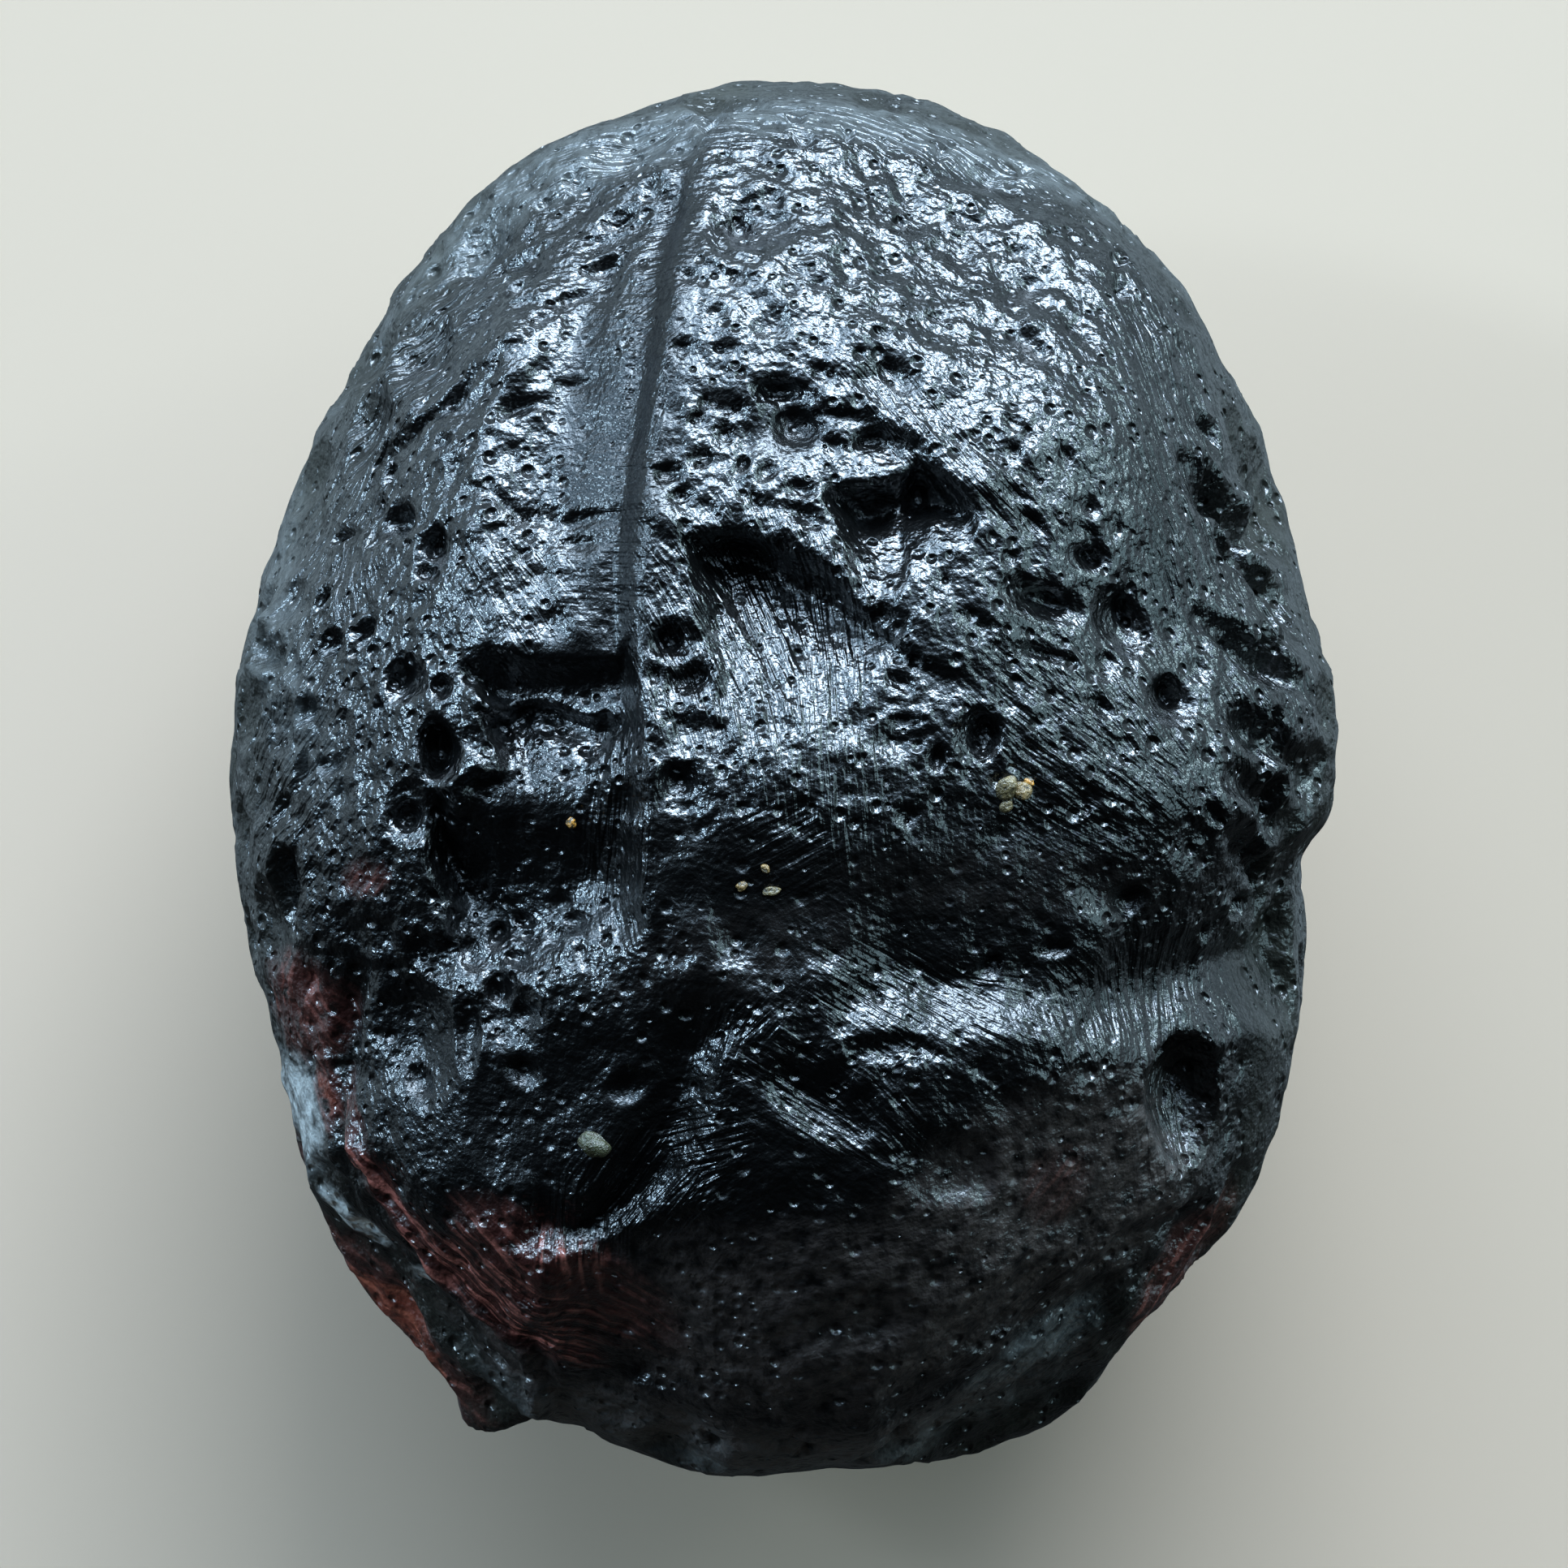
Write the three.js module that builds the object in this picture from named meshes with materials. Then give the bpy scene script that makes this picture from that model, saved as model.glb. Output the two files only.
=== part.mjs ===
// A tektite: one pebble of natural black glass, lying on its belly.
// Millimetres, +Z up. The origin is on the table, under the middle of the stone.
// The stone is an egg in plan, narrower towards +Y, and an ellipse in section. Its surface is then
// sunk along its own normal by the forms that etching and spalling left: flats, hollows, grooves
// and scarps, and raised by a few ridges. Places are given in plan, on the upper or the under side.
import * as THREE from "three";
import { mergeVertices } from "three/addons/utils/BufferGeometryUtils.js";

// Driving dimensions, in millimetres.
const CROWN_HEIGHT = 16.6; // from the widest level up to the crown
const BELLY_DEPTH = 14.4; // from the widest level down to the belly
const FLAT_SPOT_CUT = 0.55; // how much of the belly is worn away to the flat that it rests on
const SECTION_POWER = 2.15; // 2 is an ellipse in section, more is boxier
const RINGS = 21; // how often each edge of the icosahedron is divided
const CROWN_SHARE = 0.25; // how far the facets are drawn up from the under side to the crown

const UPPER = 1;
const UNDER = -1;

// The plan's outline: bearing from +X in degrees, radius.
const OUTLINE = [
  [0, 19.2], [10, 19.2], [20, 18.7], [30, 19.4], [40, 20.65], [50, 21.7], [60, 22.4], [75, 23.95],
  [82, 24.3], [90, 24.1], [105, 23.5], [120, 22.85], [127, 22.1], [135, 21.0], [150, 19.25],
  [165, 18.85], [180, 18.7], [188, 19.1], [195, 19.3], [210, 19.8], [225, 22.3], [236, 23.6],
  [240, 24.5], [244.5, 25.1], [249, 23.5], [257, 23.3], [265, 24.1], [278, 24.4], [290, 24.2],
  [300, 22.6], [315, 21.65], [322, 20.8], [330, 20.05], [344, 18.9], [351, 18.45], [356, 19.1],
];

// Broad swells of the body: height, wave vector in radians per mm, phase.
const SWELLS = [
  [0.22, [0.31, 0.12, 0.2], 0.4],
  [0.18, [-0.17, 0.36, 0.28], 1.9],
  [0.15, [0.42, -0.3, -0.14], 3.1],
  [0.1, [0.2, 0.55, -0.47], 5.2],
];

// Flats where a flake came off: centre in plan, how deep the flake went.
const FLATS = [
  { at: [-13.0, 14.6], deep: 0.5 },
  { at: [-15.6, -14.6], deep: 0.8 },
  { at: [12.0, -17.5], deep: 0.45 },
  { at: [8.6, 16.6], deep: 0.35 },
  { at: [-14.0, 6.0], deep: 0.7, side: UNDER },
  { at: [13.0, -8.0], deep: 0.8, side: UNDER },
  { at: [-3.0, -19.0], deep: 0.6, side: UNDER },
];

// Hollows: centre, half sizes, depth, the turn of the long axis in degrees, how full the floor is.
const HOLLOWS = [
  // the crown's left, with the round one that has the bright wall
  { at: [-9.4, -8.2], size: [1.8, 1.5], deep: 0.7 },
  { at: [-6.9, -11.8], size: [4.4, 4.2], deep: 0.7 },
  { at: [-11.8, 1.0], size: [1.0, 1.3], deep: 1.0 },
  { at: [-12.7, -1.2], size: [1.4, 1.2], deep: 0.6 },
  { at: [-16.9, -3.9], size: [1.2, 1.9], deep: 0.8 },
  { at: [-13.1, 3.3], size: [1.0, 1.1], deep: 0.6 },
  { at: [-17.4, 3.9], size: [0.9, 1.2], deep: 0.6 },
  { at: [-13.4, 8.8], size: [1.0, 0.8], deep: 0.5 },
  { at: [-12.0, 7.9], size: [0.9, 1.0], deep: 0.5 },
  { at: [-12.6, -9.0], size: [1.8, 2.4], deep: 0.6, turn: 20 },
  // the middle and the crown's right
  { at: [-1.3, 19.0], size: [1.9, 1.6], deep: 0.5 },
  { at: [0.35, 12.0], size: [1.4, 1.3], deep: 0.3 },
  { at: [3.5, 13.5], size: [1.3, 1.0], deep: 0.35, turn: -25 },
  { at: [-3.7, 4.6], size: [1.0, 0.7], deep: 0.6 },
  { at: [-3.4, 3.4], size: [1.2, 0.7], deep: 0.5 },
  { at: [-3.5, -0.4], size: [1.2, 1.2], deep: 0.5 },
  { at: [6.8, 1.4], size: [1.0, 1.0], deep: 0.5 },
  { at: [3.2, 5.1], size: [1.2, 1.1], deep: 0.5 },
  { at: [8.9, 6.1], size: [1.7, 0.8], deep: 0.6, turn: -18 },
  { at: [10.3, 7.6], size: [0.8, 0.7], deep: 0.4 },
  { at: [11.5, 5.4], size: [1.3, 1.3], deep: 0.6, turn: -30 },
  { at: [13.2, 2.8], size: [1.0, 1.0], deep: 0.7 },
  { at: [14.0, -11.2], size: [1.9, 2.8], deep: 1.7, turn: 8, full: 0.7 },
  { at: [11.0, -4.0], size: [2.0, 1.3], deep: 0.6, turn: -10 },
  { at: [13.4, -7.2], size: [3.4, 2.4], deep: 0.7 },
  { at: [1.4, -11.0], size: [2.2, 1.4], deep: 0.6, turn: -30 },
  { at: [5.6, -13.4], size: [2.2, 1.3], deep: 0.5, turn: -30 },
  { at: [2.4, -18.6], size: [2.6, 1.4], deep: 0.35, turn: 15 },
  // the under side
  { at: [8.5, -8.0], size: [4.2, 3.4], deep: 1.4, side: UNDER },
  { at: [-8.0, 12.5], size: [3.4, 2.6], deep: 1.3, turn: 30, side: UNDER },
  { at: [9.5, 10.5], size: [2.4, 3.2], deep: 1.1, turn: -25, side: UNDER },
  { at: [-11.5, -10.5], size: [2.8, 2.2], deep: 1.1, side: UNDER },
  { at: [-15.5, 0.5], size: [1.8, 3.0], deep: 1.0, side: UNDER },
  { at: [2.0, -17.5], size: [3.2, 1.8], deep: 1.0, side: UNDER },
  { at: [14.8, 2.2], size: [1.7, 2.4], deep: 0.9, side: UNDER },
  { at: [-1.0, 19.0], size: [2.4, 1.6], deep: 0.8, side: UNDER },
];

// Grooves: a line of places in plan, half width, depth.
const GROOVES = [
  { // the wide smooth flute down the crown
    path: [[-5.7, 21.4], [-6.6, 18.4], [-7.2, 14.6], [-7.5, 10.6], [-7.5, 7.4], [-7.5, 4.0]],
    reach: 3.2, deep: 1.6,
  },
  // the gouges that slant down the right side
  { path: [[13.9, 10.4], [15.2, 9.2], [16.9, 7.9]], reach: 1.0, deep: 1.1 },
  { path: [[15.6, 7.4], [16.6, 6.3], [16.9, 5.2]], reach: 1.0, deep: 1.2 },
  { path: [[14.4, 5.4], [15.8, 4.2], [17.5, 3.2]], reach: 0.8, deep: 0.9 },
  { path: [[15.0, 2.4], [16.3, 1.4], [17.5, 0.4]], reach: 0.8, deep: 0.9 },
  { path: [[15.3, 0.2], [16.4, -0.8], [17.6, -1.8]], reach: 0.8, deep: 0.85 },
  { path: [[15.0, -1.9], [16.2, -2.8], [17.5, -3.9]], reach: 0.8, deep: 0.85 },
  { path: [[15.2, -3.8], [16.2, -4.5], [17.2, -5.4]], reach: 0.7, deep: 0.6 },
  { // the crease inside the broken left edge
    path: [[-14.8, -5.8], [-15.2, -10.2], [-14.9, -13.6], [-13.4, -16.8], [-11.6, -19.4]],
    reach: 0.9, deep: 0.5,
  },
  // two across the under side
  {
    path: [[-12.5, 15.5], [-5.0, 8.5], [2.0, 6.5], [9.0, 3.0], [16.0, 6.5]],
    reach: 1.4, deep: 0.9, side: UNDER,
  },
  {
    path: [[-16.5, -6.0], [-8.5, -5.0], [-1.5, -9.0], [3.0, -13.0], [10.0, -15.5]],
    reach: 1.3, deep: 0.8, side: UNDER,
  },
];

// Ridges that stand up: a line of places in plan, half width, height.
const RIDGES = [
  { // the striated rib across the middle of the crown
    path: [[2.0, 14.2], [3.6, 12.8], [4.8, 11.6], [6.2, 10.3], [8.4, 9.2]],
    reach: 0.9, deep: 0.3,
  },
  { // the ridge that leads down to the fan
    path: [[-4.9, 9.4], [-3.6, 8.4], [-2.6, 7.0], [-2.0, 5.4], [-1.2, 4.0]],
    reach: 0.6, deep: 0.3,
  },
  { // the fibrous rib inside the broken left edge
    path: [[-15.3, -10.9], [-14.2, -13.8], [-12.4, -17.0], [-10.4, -19.6], [-8.0, -21.8]],
    reach: 0.6, deep: 0.5,
  },
  // the swell across the crown above its middle hollows, and the one below the fan
  { path: [[-3.5, 14.8], [0.5, 15.2], [4.5, 14.8]], reach: 4.2, deep: 0.5 },
  { path: [[-5.5, 0.6], [-1.5, 0.4], [2.5, 0.3], [8.0, 0.6]], reach: 4.4, deep: 0.75 },
];

// Scarps: a line of places along the top of a wall, with the low ground on the left of the line as
// it runs. The ground drops over the width of the wall and comes back up over the run. Towards each
// end of the line, over that end's fade, the wall gets lower and narrower alike.
const SCARPS = [
  { // the crease: the wall on the flute's right
    path: [[-4.9, 3.6], [-4.9, 7.4], [-4.6, 10.6], [-4.0, 14.6], [-3.4, 18.4], [-2.8, 21.8]],
    drop: 1.35, wall: 0.95, run: 5.5, fade: [1.0, 4.0],
  },
  { // the undercut that ends the flute
    path: [[-4.9, 5.3], [-6.0, 5.2], [-8.0, 4.95], [-10.0, 4.9], [-10.8, 4.4], [-11.4, 3.8]],
    drop: 2.6, wall: 2.3, run: 9.0,
  },
  { // the second step below it
    path: [[-4.9, 2.2], [-6.0, 2.7], [-7.6, 2.95], [-9.0, 2.9], [-10.6, 2.4]],
    drop: 3.2, wall: 1.1, run: 4.2,
  },
  { // the top edge of the dark pocket under the flute, and the pocket's overhung back
    path: [[-5.2, 0.8], [-6.6, 0.7], [-7.8, 0.8], [-9.0, 0.6], [-10.2, 0.2], [-11.6, 0.1]],
    drop: 1.0, wall: 0.7, run: 9.0, fade: [1.2, 1.6],
  },
  {
    path: [[-4.8, 0.8], [-6.6, 0.7], [-7.8, 0.8], [-9.0, 0.6], [-10.2, 0.2], [-12.4, 0.1]],
    drop: 5.0, wall: 5.6, run: 7.8, fade: [1.6, 1.6],
  },
  { // the wall below the pocket and on its right
    path: [
      [-12.0, -5.0], [-10.8, -6.1], [-9.2, -6.6], [-7.6, -6.6], [-6.2, -6.0], [-5.3, -5.0],
      [-4.9, -3.6], [-4.8, -1.2], [-4.8, 1.2], [-4.9, 3.4],
    ],
    drop: 1.6, wall: 1.6, run: 8.0, fade: [2.0, 2.0],
  },
  { // the wall on the right of the round hollow
    path: [
      [-9.6, -16.2], [-8.2, -16.6], [-6.4, -16.3], [-4.6, -15.3], [-3.3, -13.9], [-2.6, -12.4],
      [-2.3, -10.8], [-1.8, -9.3], [-0.6, -8.0],
    ],
    drop: 1.2, wall: 1.4, run: 7.0, fade: [1.6, 3.0],
  },
  { // the dark slope across the middle, down to the bright step
    path: [[13.0, -1.2], [8.0, -1.6], [3.0, -1.8], [-3.0, -1.8]],
    drop: 0.5, wall: 4.4, run: 6.0,
  },
  { // the hollow in the middle of the crown, and the two small ones above it
    path: [[6.8, 8.9], [5.4, 10.2], [4.6, 10.9], [3.9, 10.6], [3.0, 10.2], [1.2, 10.1]],
    drop: 2.8, wall: 1.7, run: 4.4, fade: [2.0, 1.6],
  },
  { path: [[4.6, 11.3], [3.4, 12.1], [2.2, 11.6]], drop: 0.5, wall: 0.8, run: 1.8 },
  { path: [[1.7, 12.8], [0.9, 13.4], [-0.2, 13.55], [-1.1, 13.1]], drop: 0.6, wall: 0.6, run: 2.4 },
  { // the slanting step above the bright fan
    path: [
      [7.2, 2.8], [4.8, 4.2], [3.0, 5.7], [1.8, 7.0], [0.2, 8.0], [-1.5, 8.6], [-2.8, 8.4],
      [-3.8, 8.2],
    ],
    drop: 2.8, wall: 1.25, run: 6.4, fade: [8.5, 1.4],
  },
  // the long bright step across the lower half, whose low ground lies above it in plan
  {
    path: [[9.0, -9.4], [12.4, -9.4], [15.2, -9.2], [17.4, -8.8]],
    drop: 2.4, wall: 3.0, run: 7.0, fade: [3.0, 3.5],
  },
  {
    path: [
      [1.4, -8.3], [3.2, -8.4], [5.0, -9.0], [7.2, -8.9], [9.2, -9.3], [12.4, -9.4], [15.6, -9.2],
      [18.0, -8.6],
    ],
    drop: 1.7, wall: 2.4, run: 6.0, fade: [2.5, 1.0],
  },
];

// Small pits all over: how many, the least and the greatest radius, depth for each millimetre of it.
const PIT_COUNT = 260;
const PIT_RADIUS = [0.9, 1.9];
const PIT_SLOPE = 0.36;

const LINE_STEPS = 3; // how many straight steps a line takes between two of its places
const LEAST_WALL_SHARE = 0.25; // how narrow a scarp's wall gets where the scarp fades out

const radians = THREE.MathUtils.degToRad;
const smooth = (t) => THREE.MathUtils.smoothstep(t, 0, 1);

// The plan radius at a bearing: a cubic through the outline's points, closed on itself.
function outlineRadius(bearing) {
  const angle = THREE.MathUtils.euclideanModulo(bearing, 360);
  const count = OUTLINE.length;
  const point = (i) => {
    const [a, r] = OUTLINE[(i + count) % count];
    return [a + 360 * Math.floor(i / count), r];
  };
  let i = count - 1;
  while (OUTLINE[i][0] > angle) i -= 1;
  const [before, start, end, after] = [i - 1, i, i + 1, i + 2].map(point);
  const span = end[0] - start[0];
  const leave = ((end[1] - before[1]) / (end[0] - before[0])) * span;
  const arrive = ((after[1] - start[1]) / (after[0] - start[0])) * span;
  const t = (angle - start[0]) / span;
  return (
    (2 * t ** 3 - 3 * t ** 2 + 1) * start[1] +
    (t ** 3 - 2 * t ** 2 + t) * leave +
    (3 * t ** 2 - 2 * t ** 3) * end[1] +
    (t ** 3 - t ** 2) * arrive
  );
}

// The plain egg, about the middle of its widest level, at a share of the plan radius and a side.
function eggPoint(bearing, share, side) {
  const radius = outlineRadius(THREE.MathUtils.radToDeg(bearing)) * share;
  const rise = (1 - share ** SECTION_POWER) ** (1 / SECTION_POWER);
  const height = side > 0 ? CROWN_HEIGHT * rise : -BELLY_DEPTH * rise;
  return new THREE.Vector3(radius * Math.cos(bearing), radius * Math.sin(bearing), height);
}

// The outward normal of the egg near a point on it.
function eggNormal(point) {
  const bearing = Math.atan2(point.y, point.x);
  const radius = outlineRadius(THREE.MathUtils.radToDeg(bearing));
  const height = point.z > 0 ? CROWN_HEIGHT : BELLY_DEPTH;
  return new THREE.Vector3(
    point.x / radius ** 2,
    point.y / radius ** 2,
    point.z / height ** 2,
  ).normalize();
}

// The place on the egg that is seen at (x, y) in plan.
function placeOn([x, y], side = UPPER) {
  const bearing = Math.atan2(y, x);
  const share = Math.hypot(x, y) / outlineRadius(THREE.MathUtils.radToDeg(bearing));
  return eggPoint(bearing, Math.min(share, 0.995), side);
}

function swellHeight(point) {
  return SWELLS.reduce(
    (sum, [height, wave, phase]) =>
      sum + height * Math.sin(point.dot(new THREE.Vector3(...wave)) + phase),
    0,
  );
}

// Each form below becomes a function of a point on the egg that gives how deep it sinks there.

function flatForm({ at, deep, side = UPPER }) {
  const centre = placeOn(at, side);
  const normal = eggNormal(centre);
  return (point) => Math.max(0, point.clone().sub(centre).dot(normal) + deep);
}

function hollowForm({ at, size, deep, turn = 0, full = 1, side = UPPER }) {
  return dishForm(placeOn(at, side), size, deep, turn, full);
}

function dishForm(centre, size, deep, turn = 0, full = 1) {
  const normal = eggNormal(centre);
  const across = new THREE.Vector3(Math.cos(radians(turn)), Math.sin(radians(turn)), 0);
  across.addScaledVector(normal, -across.dot(normal)).normalize();
  const along = new THREE.Vector3().crossVectors(normal, across);
  return (point) => {
    const away = point.clone().sub(centre);
    if (Math.abs(away.dot(normal)) > Math.max(...size)) return 0;
    const q = (away.dot(across) / size[0]) ** 2 + (away.dot(along) / size[1]) ** 2;
    return q < 1 ? deep * (1 - q) ** full : 0;
  };
}

// Pits spread by the golden angle, each nudged and sized by a fixed hash of its number.
function pitForms() {
  const hash = (n) => THREE.MathUtils.euclideanModulo(Math.sin(n * 78.233) * 43758.5453, 1);
  return Array.from({ length: PIT_COUNT }, (_, i) => {
    const height = 1 - (2 * (i + hash(i + 0.3))) / PIT_COUNT;
    const bearing = i * Math.PI * (3 - Math.sqrt(5)) + hash(i + 0.6);
    const centre = eggPoint(bearing, Math.sqrt(1 - height ** 2), Math.sign(height));
    const radius = THREE.MathUtils.lerp(...PIT_RADIUS, hash(i + 0.9) ** 2);
    return dishForm(centre, [radius, radius], radius * PIT_SLOPE);
  });
}

// A smooth line on the egg, through places given in plan.
function lineOn(path, side = UPPER) {
  const plan = new THREE.SplineCurve(path.map((at) => new THREE.Vector2(...at)));
  return plan.getPoints(LINE_STEPS * (path.length - 1)).map(({ x, y }) => placeOn([x, y], side));
}

// The nearest point of a line on the egg: how far, on which side, and how far from each of its ends.
function nearestOnPath(stops, point) {
  let best = { distance: Infinity };
  let walked = 0;
  for (let i = 1; i < stops.length; i += 1) {
    const step = stops[i].clone().sub(stops[i - 1]);
    const length = step.length();
    const away = point.clone().sub(stops[i - 1]);
    const share = THREE.MathUtils.clamp(away.dot(step) / length ** 2, 0, 1);
    const offset = away.clone().addScaledVector(step, -share);
    if (offset.length() < best.distance) {
      const left = step.clone().cross(offset).dot(eggNormal(stops[i]));
      best = { distance: offset.length(), left: left >= 0, walked: walked + share * length };
    }
    walked += length;
  }
  return { ...best, fromStart: best.walked, toEnd: walked - best.walked };
}

function grooveForm({ path, reach, deep, side = UPPER }) {
  const stops = lineOn(path, side);
  return (point) => {
    const { distance, fromStart, toEnd } = nearestOnPath(stops, point);
    if (distance > reach) return 0;
    const taper = 0.35 + 0.65 * smooth(Math.min(fromStart, toEnd) / (2 * reach));
    return deep * taper * (1 - (distance / reach) ** 2) ** 1.5;
  };
}

function scarpForm({ path, drop, wall, run, fade = [1, 1], side = UPPER }) {
  const stops = lineOn(path, side);
  return (point) => {
    const { distance, left, fromStart, toEnd } = nearestOnPath(stops, point);
    if (!left || distance > run) return 0;
    const share = smooth(fromStart / fade[0]) * smooth(toEnd / fade[1]);
    const reach = wall * Math.max(share, LEAST_WALL_SHARE);
    return drop * share * smooth(distance / reach) * (1 - distance / run);
  };
}

const FORMS = [
  ...FLATS.map(flatForm),
  ...HOLLOWS.map(hollowForm),
  ...GROOVES.map(grooveForm),
  ...SCARPS.map(scarpForm),
];
const RIBS = RIDGES.map(grooveForm);
const PITS = pitForms();

// Where forms overlap, the deepest one leads. The pits are sunk below whatever they lie in, and the
// ridges stand up from it.
function sunkDepth(point) {
  const add = (forms) => forms.reduce((sum, form) => sum + form(point), 0);
  const cubes = FORMS.reduce((sum, form) => sum + form(point) ** 3, 0);
  return Math.cbrt(cubes) + add(PITS) - add(RIBS);
}

// The finished surface in one direction from the middle of the widest level.
function stonePoint(direction) {
  const tilt = Math.acos(THREE.MathUtils.clamp(direction.z, -1, 1));
  const drawn = tilt - CROWN_SHARE * Math.sin(tilt);
  const side = Math.cos(drawn) >= 0 ? UPPER : UNDER;
  const bearing = Math.atan2(direction.y, direction.x);
  const point = eggPoint(bearing, Math.sin(drawn), side);
  return point.clone().addScaledVector(eggNormal(point), swellHeight(point) - sunkDepth(point));
}

// A ball of facets whose every corner is moved out to the stone's surface, worn flat underneath.
function makeStone() {
  const ball = new THREE.IcosahedronGeometry(1, RINGS);
  ball.deleteAttribute("normal");
  ball.deleteAttribute("uv");
  const geometry = mergeVertices(ball);
  const corners = geometry.getAttribute("position");
  const corner = new THREE.Vector3();
  for (let i = 0; i < corners.count; i += 1) {
    const point = stonePoint(corner.fromBufferAttribute(corners, i).normalize());
    corners.setXYZ(i, point.x, point.y, point.z);
  }
  geometry.computeBoundingBox();
  const floor = geometry.boundingBox.min.z + FLAT_SPOT_CUT;
  for (let i = 0; i < corners.count; i += 1) corners.setZ(i, Math.max(corners.getZ(i), floor));
  const middle = geometry.boundingBox.getCenter(new THREE.Vector3());
  geometry.translate(-middle.x, -middle.y, -floor);
  geometry.computeVertexNormals();
  return geometry;
}

const blackGlass = new THREE.MeshStandardMaterial({ color: 0x16181a, roughness: 0.25, metalness: 0 });

const tektite = new THREE.Mesh(makeStone(), blackGlass);
tektite.name = "tektite";

const specimen = new THREE.Group();
specimen.add(tektite);
export default specimen;
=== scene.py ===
"""A tektite, a pebble of natural black glass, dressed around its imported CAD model.

The stone is one closed skin. It starts from an egg, and flats, hollows, grooves and scarps are sunk
into it along its own normal, then pits and flow lines, all worked out as whole arrays. Places on it
are given in plan, in millimetres from its middle, on the upper or the under side.
"""

import itertools
import math
from collections import namedtuple

import bpy
import numpy as np
from bpy.props import FloatProperty, IntProperty, PointerProperty, StringProperty
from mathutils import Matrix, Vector


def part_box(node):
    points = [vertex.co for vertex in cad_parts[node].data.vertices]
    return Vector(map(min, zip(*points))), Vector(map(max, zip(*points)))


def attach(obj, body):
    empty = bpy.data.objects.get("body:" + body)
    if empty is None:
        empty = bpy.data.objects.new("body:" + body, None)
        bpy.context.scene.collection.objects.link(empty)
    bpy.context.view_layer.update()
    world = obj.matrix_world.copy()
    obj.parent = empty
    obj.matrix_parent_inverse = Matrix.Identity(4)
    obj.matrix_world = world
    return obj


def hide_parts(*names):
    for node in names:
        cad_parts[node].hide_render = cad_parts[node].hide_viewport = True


bl_info = {
    "name": "Tektite",
    "version": (1, 0, 0),
    "blender": (4, 5, 0),
    "location": "3D View > Sidebar > Tektite",
    "description": "A pitted and flow-lined pebble of natural black glass on a pale table",
    "category": "Add Mesh",
}

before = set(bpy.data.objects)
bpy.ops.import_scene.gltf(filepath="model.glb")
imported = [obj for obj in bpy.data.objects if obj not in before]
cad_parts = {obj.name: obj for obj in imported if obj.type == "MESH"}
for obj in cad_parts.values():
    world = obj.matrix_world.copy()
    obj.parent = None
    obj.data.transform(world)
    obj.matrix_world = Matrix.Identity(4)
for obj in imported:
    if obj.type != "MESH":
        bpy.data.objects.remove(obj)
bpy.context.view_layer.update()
STONE_NODE = "tektite"
BODY = "root"

MM = 0.001
UPPER, UNDER = 1.0, -1.0

# ---------------------------------------------------------------- the stone's form, in millimetres

CROWN_HEIGHT = 16.6  # from the widest level up to the crown
BELLY_DEPTH = 14.4  # from the widest level down to the belly
FLAT_SPOT_CUT = 0.55  # how much of the belly is worn away to the flat that it rests on
SECTION_POWER = 2.15  # 2 is an ellipse in section, more is boxier
LINE_STEPS = 3  # how many straight steps a line takes between two of its places

# The plan's outline: bearing from +X in degrees, radius.
OUTLINE = np.array([
    [0, 19.2], [10, 19.2], [20, 18.7], [30, 19.4], [40, 20.65], [50, 21.7], [60, 22.4], [75, 23.95],
    [82, 24.3], [90, 24.1], [105, 23.5], [120, 22.85], [127, 22.1], [135, 21.0], [150, 19.25],
    [165, 18.85], [180, 18.7], [188, 19.1], [195, 19.3], [210, 19.8], [225, 22.3], [236, 23.6],
    [240, 24.5], [244.5, 25.1], [249, 23.5], [257, 23.3], [265, 24.1], [278, 24.4], [290, 24.2],
    [300, 22.6], [315, 21.65], [322, 20.8], [330, 20.05], [344, 18.9], [351, 18.45], [356, 19.1],
])

# Broad swells of the body: height, wave vector in radians per mm, phase.
SWELLS = (
    (0.22, (0.31, 0.12, 0.2), 0.4),
    (0.18, (-0.17, 0.36, 0.28), 1.9),
    (0.15, (0.42, -0.3, -0.14), 3.1),
    (0.1, (0.2, 0.55, -0.47), 5.2),
)

Flat = namedtuple("Flat", "x y deep side", defaults=(UPPER,))
# A dish: place, half sizes across and along, depth, turn in degrees, power of its bowl, side.
Dish = namedtuple("Dish", "x y across along deep turn power side", defaults=(0.0, 1.0, UPPER))
Groove = namedtuple("Groove", "path reach deep side", defaults=(UPPER,))
Scarp = namedtuple("Scarp", "path drop wall run fade side", defaults=((1.0, 1.0), UPPER))

FLATS = (
    Flat(-13.0, 14.6, 0.5),
    Flat(-15.6, -14.6, 0.8),
    Flat(12.0, -17.5, 0.45),
    Flat(8.6, 16.6, 0.35),
    Flat(-14.0, 6.0, 0.7, UNDER),
    Flat(13.0, -8.0, 0.8, UNDER),
    Flat(-3.0, -19.0, 0.6, UNDER),
)

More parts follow.
